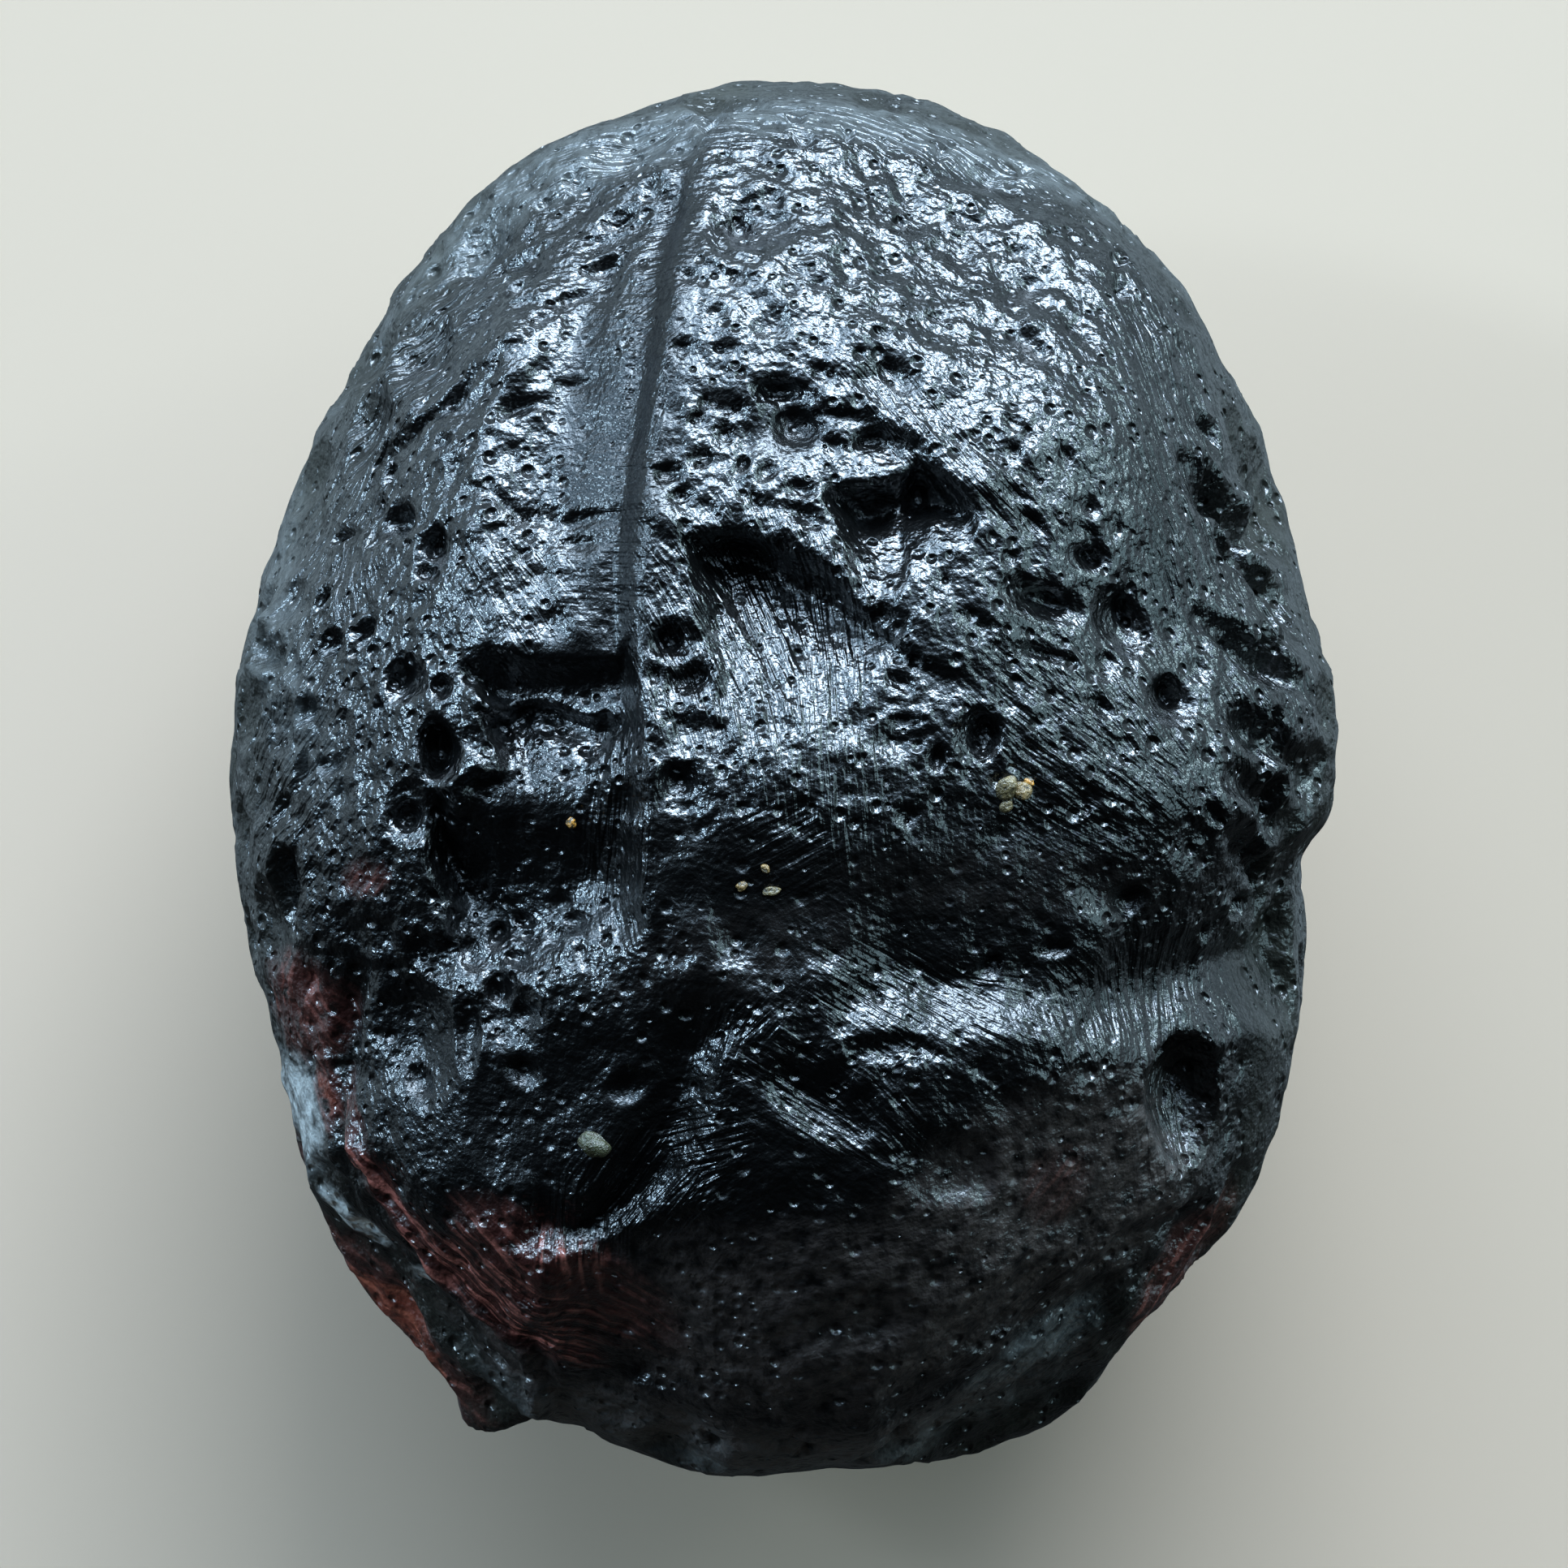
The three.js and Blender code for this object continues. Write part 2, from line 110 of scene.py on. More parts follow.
HOLLOWS = (
    # the left side, with the round hollow whose far wall is bright
    Dish(-9.4, -8.2, 1.8, 1.5, 0.7),
    Dish(-6.9, -11.8, 4.4, 4.2, 0.7),
    Dish(-11.8, 1.0, 1.0, 1.3, 1.0),
    Dish(-12.7, -1.2, 1.4, 1.2, 0.6),
    Dish(-16.9, -3.9, 1.2, 1.9, 0.8),
    Dish(-13.1, 3.3, 1.0, 1.1, 0.6),
    Dish(-17.4, 3.9, 0.9, 1.2, 0.6),
    Dish(-13.4, 8.8, 1.0, 0.8, 0.5),
    Dish(-12.0, 7.9, 0.9, 1.0, 0.5),
    Dish(-12.6, -9.0, 1.8, 2.4, 0.6, 20),
    # the middle and the crown's right
    Dish(-1.3, 19.0, 1.9, 1.6, 0.5),
    Dish(0.35, 12.0, 1.4, 1.3, 0.3),
    Dish(3.5, 13.5, 1.3, 1.0, 0.35, -25),
    Dish(-3.7, 4.6, 1.0, 0.7, 0.6),
    Dish(-3.4, 3.4, 1.2, 0.7, 0.5),
    Dish(-3.5, -0.4, 1.2, 1.2, 0.5),
    Dish(6.8, 1.4, 1.0, 1.0, 0.5),
    Dish(3.2, 5.1, 1.2, 1.1, 0.5),
    Dish(8.9, 6.1, 1.7, 0.8, 0.6, -18),
    Dish(10.3, 7.6, 0.8, 0.7, 0.4),
    Dish(11.5, 5.4, 1.3, 1.3, 0.6, -30),
    Dish(13.2, 2.8, 1.0, 1.0, 0.7),
    Dish(14.0, -11.2, 1.9, 2.8, 1.7, 8, 0.7),
    Dish(11.0, -4.0, 2.0, 1.3, 0.6, -10),
    Dish(13.4, -7.2, 3.4, 2.4, 0.7),
    Dish(1.4, -11.0, 2.2, 1.4, 0.6, -30),
    Dish(5.6, -13.4, 2.2, 1.3, 0.5, -30),
    Dish(2.4, -18.6, 2.6, 1.4, 0.35, 15),
    # the under side
    Dish(8.5, -8.0, 4.2, 3.4, 1.4, side=UNDER),
    Dish(-8.0, 12.5, 3.4, 2.6, 1.3, 30, side=UNDER),
    Dish(9.5, 10.5, 2.4, 3.2, 1.1, -25, side=UNDER),
    Dish(-11.5, -10.5, 2.8, 2.2, 1.1, side=UNDER),
    Dish(-15.5, 0.5, 1.8, 3.0, 1.0, side=UNDER),
    Dish(2.0, -17.5, 3.2, 1.8, 1.0, side=UNDER),
    Dish(14.8, 2.2, 1.7, 2.4, 0.9, side=UNDER),
    Dish(-1.0, 19.0, 2.4, 1.6, 0.8, side=UNDER),
)

GROOVES = (
    # the smooth flute down the crown, and the groove down the right shoulder
    Groove([(-5.7, 21.4), (-6.6, 18.4), (-7.2, 14.6), (-7.5, 10.6), (-7.5, 7.4), (-7.5, 4.0)], 3.2, 1.6),
    Groove(
        [(11.2, 17.9), (12.2, 14.2), (13.1, 10.6), (13.9, 7.0), (14.3, 2.6), (14.1, -1.0), (14.8, -5.0)],
        0.8, 0.05,
    ),
    # the gouges that slant down the right side
    Groove([(13.9, 10.4), (15.2, 9.2), (16.9, 7.9)], 1.0, 1.1),
    Groove([(15.6, 7.4), (16.6, 6.3), (16.9, 5.2)], 1.0, 1.2),
    Groove([(14.4, 5.4), (15.8, 4.2), (17.5, 3.2)], 0.8, 0.9),
    Groove([(15.0, 2.4), (16.3, 1.4), (17.5, 0.4)], 0.8, 0.9),
    Groove([(15.3, 0.2), (16.4, -0.8), (17.6, -1.8)], 0.8, 0.85),
    Groove([(15.0, -1.9), (16.2, -2.8), (17.5, -3.9)], 0.8, 0.85),
    Groove([(15.2, -3.8), (16.2, -4.5), (17.2, -5.4)], 0.7, 0.6),
    # the crease inside the broken left edge
    Groove([(-14.8, -5.8), (-15.2, -10.2), (-14.9, -13.6), (-13.4, -16.8), (-11.6, -19.4)], 0.9, 0.5),
    # two across the under side
    Groove([(-12.5, 15.5), (-5.0, 8.5), (2.0, 6.5), (9.0, 3.0), (16.0, 6.5)], 1.4, 0.9, UNDER),
    Groove([(-16.5, -6.0), (-8.5, -5.0), (-1.5, -9.0), (3.0, -13.0), (10.0, -15.5)], 1.3, 0.8, UNDER),
)

# Scarps: the low ground lies on the left of the line as it runs.
SCARPS = (
    # the crease: the wall on the flute's right
    Scarp(
        [(-4.9, 3.6), (-4.9, 7.4), (-4.6, 10.6), (-4.0, 14.6), (-3.4, 18.4), (-2.8, 21.8)],
        1.35, 0.95, 5.5, (1.0, 4.0),
    ),
    # the undercut that ends the flute, and the second step below it
    Scarp([(-4.9, 5.3), (-6.0, 5.2), (-8.0, 4.95), (-10.0, 4.9), (-10.8, 4.4), (-11.4, 3.8)], 2.6, 2.3, 9.0),
    Scarp([(-4.9, 2.2), (-6.0, 2.7), (-7.6, 2.95), (-9.0, 2.9), (-10.6, 2.4)], 3.2, 1.1, 4.2),
    # the overhung back of the dark pocket under the flute, and the wall below it and on its right
    Scarp(
        [(-5.2, 0.8), (-6.6, 0.7), (-7.8, 0.8), (-9.0, 0.6), (-10.2, 0.2), (-11.6, 0.1)],
        1.0, 0.7, 9.0, (1.2, 1.6),
    ),
    Scarp(
        [(-4.8, 0.8), (-6.6, 0.7), (-7.8, 0.8), (-9.0, 0.6), (-10.2, 0.2), (-12.4, 0.1)],
        5.0, 5.6, 7.8, (1.6, 1.6),
    ),
    Scarp(
        [
            (-12.0, -5.0), (-10.8, -6.1), (-9.2, -6.6), (-7.6, -6.6), (-6.2, -6.0), (-5.3, -5.0),
            (-4.9, -3.6), (-4.8, -1.2), (-4.8, 1.2), (-4.9, 3.4),
        ],
        1.6, 1.6, 8.0, (2.0, 2.0),
    ),
    # the wall on the right of the round hollow
    Scarp(
        [
            (-9.6, -16.2), (-8.2, -16.6), (-6.4, -16.3), (-4.6, -15.3), (-3.3, -13.9),
            (-2.6, -12.4), (-2.3, -10.8), (-1.8, -9.3), (-0.6, -8.0),
        ],
        1.2, 1.4, 7.0, (1.6, 3.0),
    ),
    # the dark slope across the middle, down to the bright step
    Scarp([(13.0, -1.2), (8.0, -1.6), (3.0, -1.8), (-3.0, -1.8)], 0.5, 4.4, 6.0),
    # the hollows in the middle of the crown
    Scarp(
        [(6.8, 8.9), (5.4, 10.2), (4.6, 10.9), (3.9, 10.6), (3.0, 10.2), (1.2, 10.1)],
        2.8, 1.7, 4.4, (2.0, 1.6),
    ),
    Scarp([(4.6, 11.3), (3.4, 12.1), (2.2, 11.6)], 0.5, 0.8, 1.8),
    Scarp([(1.7, 12.8), (0.9, 13.4), (-0.2, 13.55), (-1.1, 13.1)], 0.6, 0.6, 2.4),
    # the slanting step above the bright fan, and the steps below the fan
    Scarp(
        [(7.2, 2.8), (4.8, 4.2), (3.0, 5.7), (1.8, 7.0), (0.2, 8.0), (-1.5, 8.6), (-2.8, 8.4), (-3.8, 8.2)],
        2.8, 1.25, 6.4, (8.5, 1.4),
    ),
    Scarp([(5.6, 1.8), (4.0, 2.2), (2.2, 2.1)], 0.5, 0.9, 2.4),
    Scarp([(-1.2, 2.2), (-2.6, 2.4), (-4.4, 2.4)], 0.5, 0.8, 2.4),
    # the long bright step across the lower half, whose low ground lies above it in plan
    Scarp([(9.0, -9.4), (12.4, -9.4), (15.2, -9.2), (17.4, -8.8)], 2.4, 3.0, 7.0, (3.0, 3.5)),
    Scarp(
        [
            (1.4, -8.3), (3.2, -8.4), (5.0, -9.0), (7.2, -8.9), (9.2, -9.3), (12.4, -9.4),
            (15.6, -9.2), (18.0, -8.6),
        ],
        1.7, 2.4, 6.0, (2.5, 1.0),
    ),
)

# Ridges that stand up: path, half width, height.
RIDGES = (
    # the striated rib across the middle of the crown
    Groove([(2.0, 14.2), (3.6, 12.8), (4.8, 11.6), (6.2, 10.3), (8.4, 9.2)], 0.9, 0.3),
    # the ridge that leads down to the fan
    Groove([(-4.9, 9.4), (-3.6, 8.4), (-2.6, 7.0), (-2.0, 5.4), (-1.2, 4.0)], 0.6, 0.3),
    # the fibrous rib inside the broken left edge
    Groove([(-15.3, -10.9), (-14.2, -13.8), (-12.4, -17.0), (-10.4, -19.6), (-8.0, -21.8)], 0.6, 0.5),
    Groove([(-10.6, 9.9), (-8.9, 9.3), (-7.5, 9.3)], 0.35, 0.15),
    # the rings of the swirled pit at the top
    Groove([(-2.1, 19.6), (-2.15, 18.7), (-1.55, 18.05), (-0.7, 18.1), (-0.2, 18.8)], 0.34, 0.26),
    Groove([(-2.7, 19.8), (-2.8, 18.4), (-1.8, 17.4), (-0.4, 17.5), (0.4, 18.6)], 0.36, 0.26),
    Groove([(0.5, 17.5), (1.4, 17.8), (1.9, 18.6), (1.6, 19.5)], 0.34, 0.22),
    # the swell across the crown above its middle hollows, and the one below the fan
    Groove([(-3.5, 14.8), (0.5, 15.2), (4.5, 14.8)], 4.2, 0.5),
    Groove([(-5.5, 0.6), (-1.5, 0.4), (2.5, 0.3), (8.0, 0.6)], 4.4, 0.75),
)

# The larger pits, spread all over.
PIT_COUNT = 260
PIT_RADIUS = (0.9, 1.9)  # least and greatest
PIT_SLOPE = 0.36  # depth for each millimetre of radius

GROOVE_END = 0.35  # how much of its depth a groove keeps at its ends
LEAST_WALL = 0.25  # how much of its width a scarp's wall keeps at its ends
EDGE_SHARE = 0.995  # the furthest out that a place on the egg is taken, as a share of the outline

# ---------------------------------------------------------------- the finer forms, on this skin only

SMALL_PIT_SHARE = 0.9  # how much of its listed depth a small pit has
LIP_SHARE = 0.15  # how high its lip stands, as a share of that depth
LIP_PLACE, LIP_WIDTH = 1.2, 0.22  # where the lip stands and how wide it is, in half sizes

# Small pits and pockets that stand out: dishes with steeper walls.
SMALL_PITS = (
    # top and crown
    Dish(-2.5, 22.4, 0.4, 0.8, 0.6), Dish(-7.1, 21.0, 0.45, 0.6, 0.5), Dish(-4.4, 20.7, 0.45, 0.6, 0.45),
    Dish(2.2, 22.2, 0.3, 0.6, 0.4), Dish(5.3, 22.0, 0.3, 0.6, 0.4), Dish(8.1, 21.2, 0.35, 0.6, 0.45),
    Dish(-3.6, 22.6, 0.3, 0.6, 0.4), Dish(10.6, 19.3, 0.35, 0.5, 0.4), Dish(11.2, 17.3, 0.3, 0.6, 0.45),
    Dish(11.4, 16.4, 0.35, 0.5, 0.45), Dish(8.2, 18.2, 0.3, 0.45, 0.35),
    Dish(-10.6, 18.9, 0.35, 0.5, 0.35, 30), Dish(-8.4, 20.4, 0.35, 0.5, 0.4, 20),
    Dish(-9.0, 19.6, 0.3, 0.4, 0.35, 20), Dish(-5.9, 19.7, 0.8, 0.45, 0.45, 20),
    Dish(-6.2, 18.1, 0.9, 0.5, 0.5, 15), Dish(-9.4, 17.4, 0.45, 0.6, 0.55),
    Dish(-1.7, 19.1, 0.6, 0.5, 0.45, -30), Dish(-0.3, 20.0, 0.5, 0.5, 0.35),
    Dish(0.3, 16.6, 0.5, 0.35, 0.35), Dish(1.2, 16.8, 0.35, 0.35, 0.3), Dish(2.2, 16.8, 0.35, 0.35, 0.3),
    Dish(4.7, 16.6, 0.3, 0.3, 0.25), Dish(3.2, 15.9, 0.4, 0.3, 0.3), Dish(5.2, 15.8, 0.4, 0.3, 0.3, -30),
    Dish(3.3, 15.1, 0.35, 0.35, 0.3), Dish(-2.3, 15.9, 0.45, 0.4, 0.3), Dish(-3.3, 17.2, 0.4, 0.3, 0.3),
    Dish(-3.4, 14.7, 0.5, 0.3, 0.3), Dish(-1.8, 14.6, 0.5, 0.3, 0.3), Dish(4.2, 19.4, 0.35, 0.3, 0.3),
    Dish(5.4, 18.4, 0.35, 0.3, 0.3), Dish(6.9, 18.9, 0.3, 0.3, 0.25), Dish(0.6, 22.7, 0.35, 0.7, 0.5),
    Dish(0.7, 21.9, 0.35, 0.6, 0.45), Dish(8.8, 14.5, 0.35, 0.35, 0.3), Dish(8.0, 12.1, 0.4, 0.35, 0.35),
    Dish(7.9, 11.0, 0.35, 0.3, 0.3), Dish(9.8, 11.1, 0.3, 0.3, 0.25), Dish(1.2, 13.8, 0.45, 0.25, 0.3),
    Dish(0.0, 13.2, 1.1, 0.35, 0.45, -8), Dish(0.45, 12.0, 0.85, 0.8, 0.5),
    Dish(-4.0, 10.3, 0.6, 0.4, 0.5), Dish(-3.5, 9.6, 0.5, 0.3, 0.4), Dish(-0.6, 10.4, 0.5, 0.35, 0.4),
    Dish(0.6, 9.9, 0.6, 0.35, 0.4), Dish(-1.8, 12.7, 0.8, 0.25, 0.35, -5),
    Dish(1.8, 12.6, 0.9, 0.3, 0.4, -10), Dish(1.7, 11.4, 0.6, 0.4, 0.4, -15),
    Dish(-2.9, 12.3, 0.4, 0.35, 0.35), Dish(-2.1, 11.8, 0.4, 0.4, 0.35), Dish(-1.5, 10.7, 0.4, 0.3, 0.35),
    Dish(-0.9, 9.3, 0.4, 0.4, 0.35), Dish(0.9, 8.8, 0.8, 0.4, 0.5, -25),
    Dish(-2.9, 11.0, 0.5, 0.3, 0.3, 30), Dish(2.1, 8.3, 0.8, 0.45, 0.5, -20),
    Dish(3.0, 11.4, 0.8, 0.5, 0.4, 25), Dish(4.9, 9.6, 1.3, 0.8, 0.7, -10), Dish(2.6, 9.1, 1.3, 0.8, 0.7),
    Dish(-1.0, 7.6, 1.6, 0.6, 0.5, -22), Dish(1.4, 6.9, 0.9, 0.45, 0.4, -40),
    # left shoulder
    Dish(-13.4, 8.9, 0.7, 0.4, 0.55), Dish(-12.0, 8.1, 0.5, 0.5, 0.5), Dish(-12.3, 7.2, 0.45, 0.35, 0.45),
    Dish(-15.6, 8.2, 0.6, 0.4, 0.5), Dish(-15.8, 6.1, 0.6, 0.4, 0.5), Dish(-11.6, 11.5, 0.4, 0.35, 0.4),
    Dish(-13.8, 10.6, 0.5, 0.35, 0.45), Dish(-14.6, 4.9, 0.7, 0.4, 0.5, 20),
    Dish(-15.6, 4.7, 0.6, 0.4, 0.5), Dish(-17.7, 4.3, 0.7, 0.9, 0.8, 10),
    Dish(-18.0, 1.5, 0.7, 0.4, 0.5, 30), Dish(-16.4, 2.2, 0.7, 0.45, 0.55, 40),
    Dish(-16.6, 0.2, 0.8, 0.35, 0.5, 40), Dish(-17.2, -1.2, 0.9, 0.35, 0.5, 40),
    Dish(-17.4, 2.9, 0.8, 0.35, 0.5, 35), Dish(-13.3, 3.5, 0.6, 0.5, 0.5, 30),
    Dish(-14.0, 2.4, 0.3, 0.5, 0.3), Dish(-11.7, 3.1, 0.5, 0.45, 0.5), Dish(-11.8, 1.1, 0.7, 0.9, 0.7),
    Dish(-15.6, 0.5, 0.6, 0.35, 0.45), Dish(-17.0, -3.7, 0.8, 1.4, 0.9), Dish(-12.9, -1.3, 0.7, 0.6, 0.4),
    # the middle
    Dish(-3.8, 4.9, 0.6, 0.4, 0.5), Dish(-3.2, 3.5, 0.7, 0.4, 0.5), Dish(-4.4, 3.6, 0.35, 0.35, 0.35),
    Dish(-3.6, 0.0, 0.8, 0.7, 0.45), Dish(3.1, 5.6, 0.6, 0.4, 0.5), Dish(4.0, 3.3, 0.6, 0.35, 0.4),
    Dish(5.2, 0.7, 0.45, 0.45, 0.5), Dish(6.9, 1.5, 0.6, 0.7, 0.6), Dish(4.2, -1.2, 0.5, 0.4, 0.35),
    Dish(4.0, 2.0, 0.8, 0.3, 0.4),
    # right shoulder
    Dish(7.7, 9.8, 1.0, 0.35, 0.4, -32), Dish(8.5, 8.7, 0.7, 0.35, 0.35, -30),
    Dish(10.1, 8.6, 0.6, 0.3, 0.3, -30), Dish(10.3, 7.6, 0.5, 0.4, 0.4, -30),
    Dish(7.8, 7.4, 0.45, 0.35, 0.4, -40), Dish(8.8, 6.3, 1.0, 0.4, 0.45, -18),
    Dish(8.7, 4.15, 1.1, 0.3, 0.4, -3), Dish(11.7, 5.8, 0.7, 0.45, 0.5, -45),
    Dish(13.2, 3.0, 0.6, 0.55, 0.55), Dish(10.8, 2.4, 0.6, 0.3, 0.3, -30),
    Dish(14.6, 11.9, 0.7, 0.4, 0.5), Dish(15.3, 9.0, 2.1, 0.5, 1.1, -38),
    Dish(15.9, 9.9, 0.9, 0.35, 0.6, -45), Dish(15.2, 7.6, 1.1, 0.4, 0.6, -40),
    Dish(16.4, 6.2, 0.7, 1.0, 1.3, 10), Dish(16.7, 4.2, 1.2, 0.4, 0.8, -40),
    Dish(15.6, 3.9, 0.9, 0.25, 0.4, -25), Dish(16.9, 1.8, 0.8, 0.35, 0.7, -45),
    Dish(16.5, 0.6, 0.35, 0.7, 0.6, 20), Dish(16.9, -0.6, 0.6, 0.9, 0.9, 25),
    Dish(14.5, -1.2, 0.6, 0.3, 0.4, -40), Dish(16.4, -2.1, 0.9, 0.35, 0.7, -35),
    Dish(17.0, -3.3, 0.9, 0.4, 0.7, -40), Dish(16.6, -4.7, 1.2, 0.5, 0.9, -10),
    Dish(15.2, -5.5, 0.5, 0.3, 0.4, -40),
    # lower half
    Dish(-9.9, -5.5, 0.5, 0.4, 0.5, 20), Dish(-8.9, -4.9, 0.5, 0.3, 0.45),
    Dish(-7.9, -5.7, 0.45, 0.4, 0.45), Dish(-7.1, -4.9, 0.5, 0.35, 0.4, -20),
    Dish(-9.2, -6.2, 0.4, 0.3, 0.4), Dish(-6.9, -6.0, 0.3, 0.4, 0.35), Dish(11.8, -4.2, 0.9, 0.6, 0.5),
    Dish(9.2, -5.9, 0.8, 0.3, 0.35), Dish(7.1, -6.4, 0.5, 0.4, 0.4, 30), Dish(13.6, -9.8, 1.4, 0.7, 0.7),
    Dish(14.8, -11.3, 0.7, 0.9, 0.5), Dish(3.6, -9.2, 1.6, 0.5, 0.5, -10),
    Dish(-9.8, -7.2, 0.6, 0.7, 0.6), Dish(-8.8, -8.1, 0.5, 0.4, 0.4),
    Dish(-10.9, -8.6, 0.6, 1.4, 0.5, 12), Dish(-12.2, -6.0, 1.2, 0.7, 0.5, -20),
    Dish(-12.6, -10.6, 0.7, 0.5, 0.4), Dish(-9.0, -10.0, 0.7, 0.6, 0.4),
    Dish(-5.4, -10.6, 0.9, 0.6, 0.4, 30), Dish(-2.4, -22.9, 0.45, 0.8, 0.5),
    Dish(0.6, -23.0, 0.35, 0.7, 0.45), Dish(3.9, -22.7, 0.4, 0.7, 0.45),
    Dish(-13.0, -14.2, 0.35, 0.35, 0.3), Dish(-8.9, -17.9, 0.4, 0.3, 0.3),
    Dish(-16.9, -6.9, 0.4, 0.35, 0.3), Dish(-16.5, -8.1, 0.4, 0.3, 0.3),
    Dish(-12.9, -16.6, 0.8, 1.0, 0.4, 30),
)

# Hairline cracks and thin ledges.
HAIRLINES = (
    Groove([(-10.6, 14.1), (-12.0, 12.7), (-13.2, 11.9), (-14.4, 11.0)], 0.45, 0.5),
    Groove([(-9.9, 13.0), (-9.1, 12.9), (-8.3, 13.0)], 0.4, 0.35),
    Groove([(-10.8, 9.9), (-9.9, 9.7), (-8.9, 9.1), (-7.9, 9.0)], 0.45, 0.45),
    Groove([(-7.9, 8.7), (-6.8, 8.8), (-5.8, 8.9)], 0.4, 0.4),
    Groove([(-7.7, 8.1), (-6.8, 8.0), (-6.1, 8.2)], 0.4, 0.35),
    Groove([(-8.0, 13.8), (-7.2, 13.6), (-6.2, 13.9)], 0.3, 0.18),
    Groove([(-8.6, 16.6), (-7.6, 16.9), (-6.6, 16.8)], 0.3, 0.2),
)

# Which way the flow lines run: place in plan, bearing in degrees.
FLOW = np.array([
    [0, 23, 0], [6, 21.5, -25], [-6, 21, 25], [-13, 17, 48], [-15.5, 10, 62], [-17.5, 5, 78],
    [-6.5, 14, -8], [-6.5, 9, 8], [-8.6, 13, -4], [-8.6, 10, 6], [-8.8, 16, -16], [-6.3, 6.5, 0],
    [-6.3, 8.5, 4], [-6.4, 11.5, -4], [-5.1, 8, 84], [-4.5, 13, 80], [-9.5, 7, -52], [-7, 6.3, -50],
    [-11, 6, -58], [-13, 6, -62], [-16.5, 2, 35], [-17, -1, 36], [-14.5, -0.5, 42], [-4, 8, -50],
    [-3, 5.5, -60], [-1.5, 4.5, -66], [0.5, 5, -80], [1.5, 3, -86], [1, 0, -86], [3.2, 0.5, -84],
    [-5.6, -2.5, 88], [-7, 1.2, 84], [-5.2, 2.2, -74], [-1, -5, 14], [-3.5, -5.5, -80], [5, 12, -46],
    [3, 13.2, -50], [7, 10, -40], [9.5, 17, -62], [12.6, 14, -68], [2, 19, -30], [9, 5.5, -20],
    [9.5, 1.5, -26], [11, -0.6, -20], [12, 3, -40], [11.2, 5.2, -55], [15.5, 9, -35], [16, 6, -40],
    [16, 3.6, -30], [16.5, -1, -42], [16.5, -3.8, -34], [3, -7, -32], [5.4, -7.8, -34], [8, -6.4, -14],
    [10.5, -7.5, -62], [12.5, -7.5, -70], [14.5, -7, -78], [13.6, -12.6, -60], [-1.2, -9, 74],
    [1, -10.8, -36], [3.4, -11.2, -52], [-4.4, -13.6, 52], [-6.2, -15.2, 80], [-3, -11.4, 14],
    [-12, -16, -54], [-9, -20, -42], [-14.6, -12, -62], [-7, -18.5, -46], [3, -17, 14], [8, -20.5, 48],
    [10.5, -18, 46], [13.5, -15, 38], [16.8, -9, 76], [15.6, -13, 60], [0, -21.5, 4],
])

FLOW_SOFTNESS = 0.3  # square millimetres: how softly one listed bearing gives way to the next
FLOW_CLIMB = 0.25  # how steeply the flow climbs out of plan
FLOW_FLOOR = 0.18  # how strong the flow lines are where no blob strengthens them
LAY_COUNT = 700  # how many straight lays the fine lines are pieced together from

# The coarse flow lines: height, spacing as a share of the one set, length in millimetres, seed.
FLOW_WAVES = ((1.0, 1.0, 2.6, 11), (0.6, 0.6, 2.0, 12))

# A soft patch: place, half sizes, turn in degrees, strength, side.
Blob = namedtuple("Blob", "x y across along turn strength side", defaults=(UPPER,))
BLOB_REACH = 1.5  # how far a patch fades out, in half sizes
BLOB_PLATEAU = 1.4  # above 1 the middle of a patch is even

# Where the flow lines stand out, and how strongly.
FLOW_STRENGTH = (
    Blob(-4.6, 14.0, 0.7, 7.5, -6, 0.7), Blob(-5.3, 7.5, 0.6, 3.0, 0, 0.7),
    Blob(-1.0, 4.8, 3.4, 3.6, 20, 1.7), Blob(0.8, 0.0, 2.4, 3.0, 0, 1.1),
    Blob(-5.6, -1.6, 1.0, 3.2, 0, 1.7), Blob(5.4, 11.4, 3.6, 1.1, -42, 0.9),
    Blob(16.2, 5.0, 1.6, 5.5, 0, 0.9), Blob(16.4, -2.6, 1.4, 3.0, 0, 0.8),
    Blob(10.5, 1.4, 3.6, 3.0, -20, 0.7), Blob(12.5, -7.4, 4.4, 1.8, 0, 0.9),
    Blob(4.4, -7.6, 3.2, 1.4, -10, 0.8), Blob(-5.0, -14.0, 3.6, 1.6, 38, 1.4),
    Blob(-9.2, 6.4, 1.9, 1.9, 0, 0.7), Blob(-16.8, 0.8, 2.2, 4.0, 0, 1.1),
    Blob(13.6, -12.6, 1.4, 1.6, 0, 0.9), Blob(-1.2, -9.0, 1.4, 1.3, 0, 0.9),
    Blob(2.0, -11.2, 2.6, 1.4, -30, 0.8), Blob(9.4, -19.6, 3.2, 3.0, 45, 0.8),
    Blob(-11.0, -17.0, 5.0, 1.8, -52, 0.7), Blob(-15.2, 10.0, 2.6, 5.0, -20, 1.2),
    Blob(-13.0, 15.0, 3.6, 2.4, 45, 1.2), Blob(13.4, 12.0, 2.0, 5.0, 20, 1.1),
    Blob(0.0, 22.8, 10.0, 1.6, 0, 1.2), Blob(17.4, 4.0, 1.2, 6.0, 0, 0.8),
)

CALM_SHARE = 0.85  # how much of its unevenness the skin loses on the calmest ground

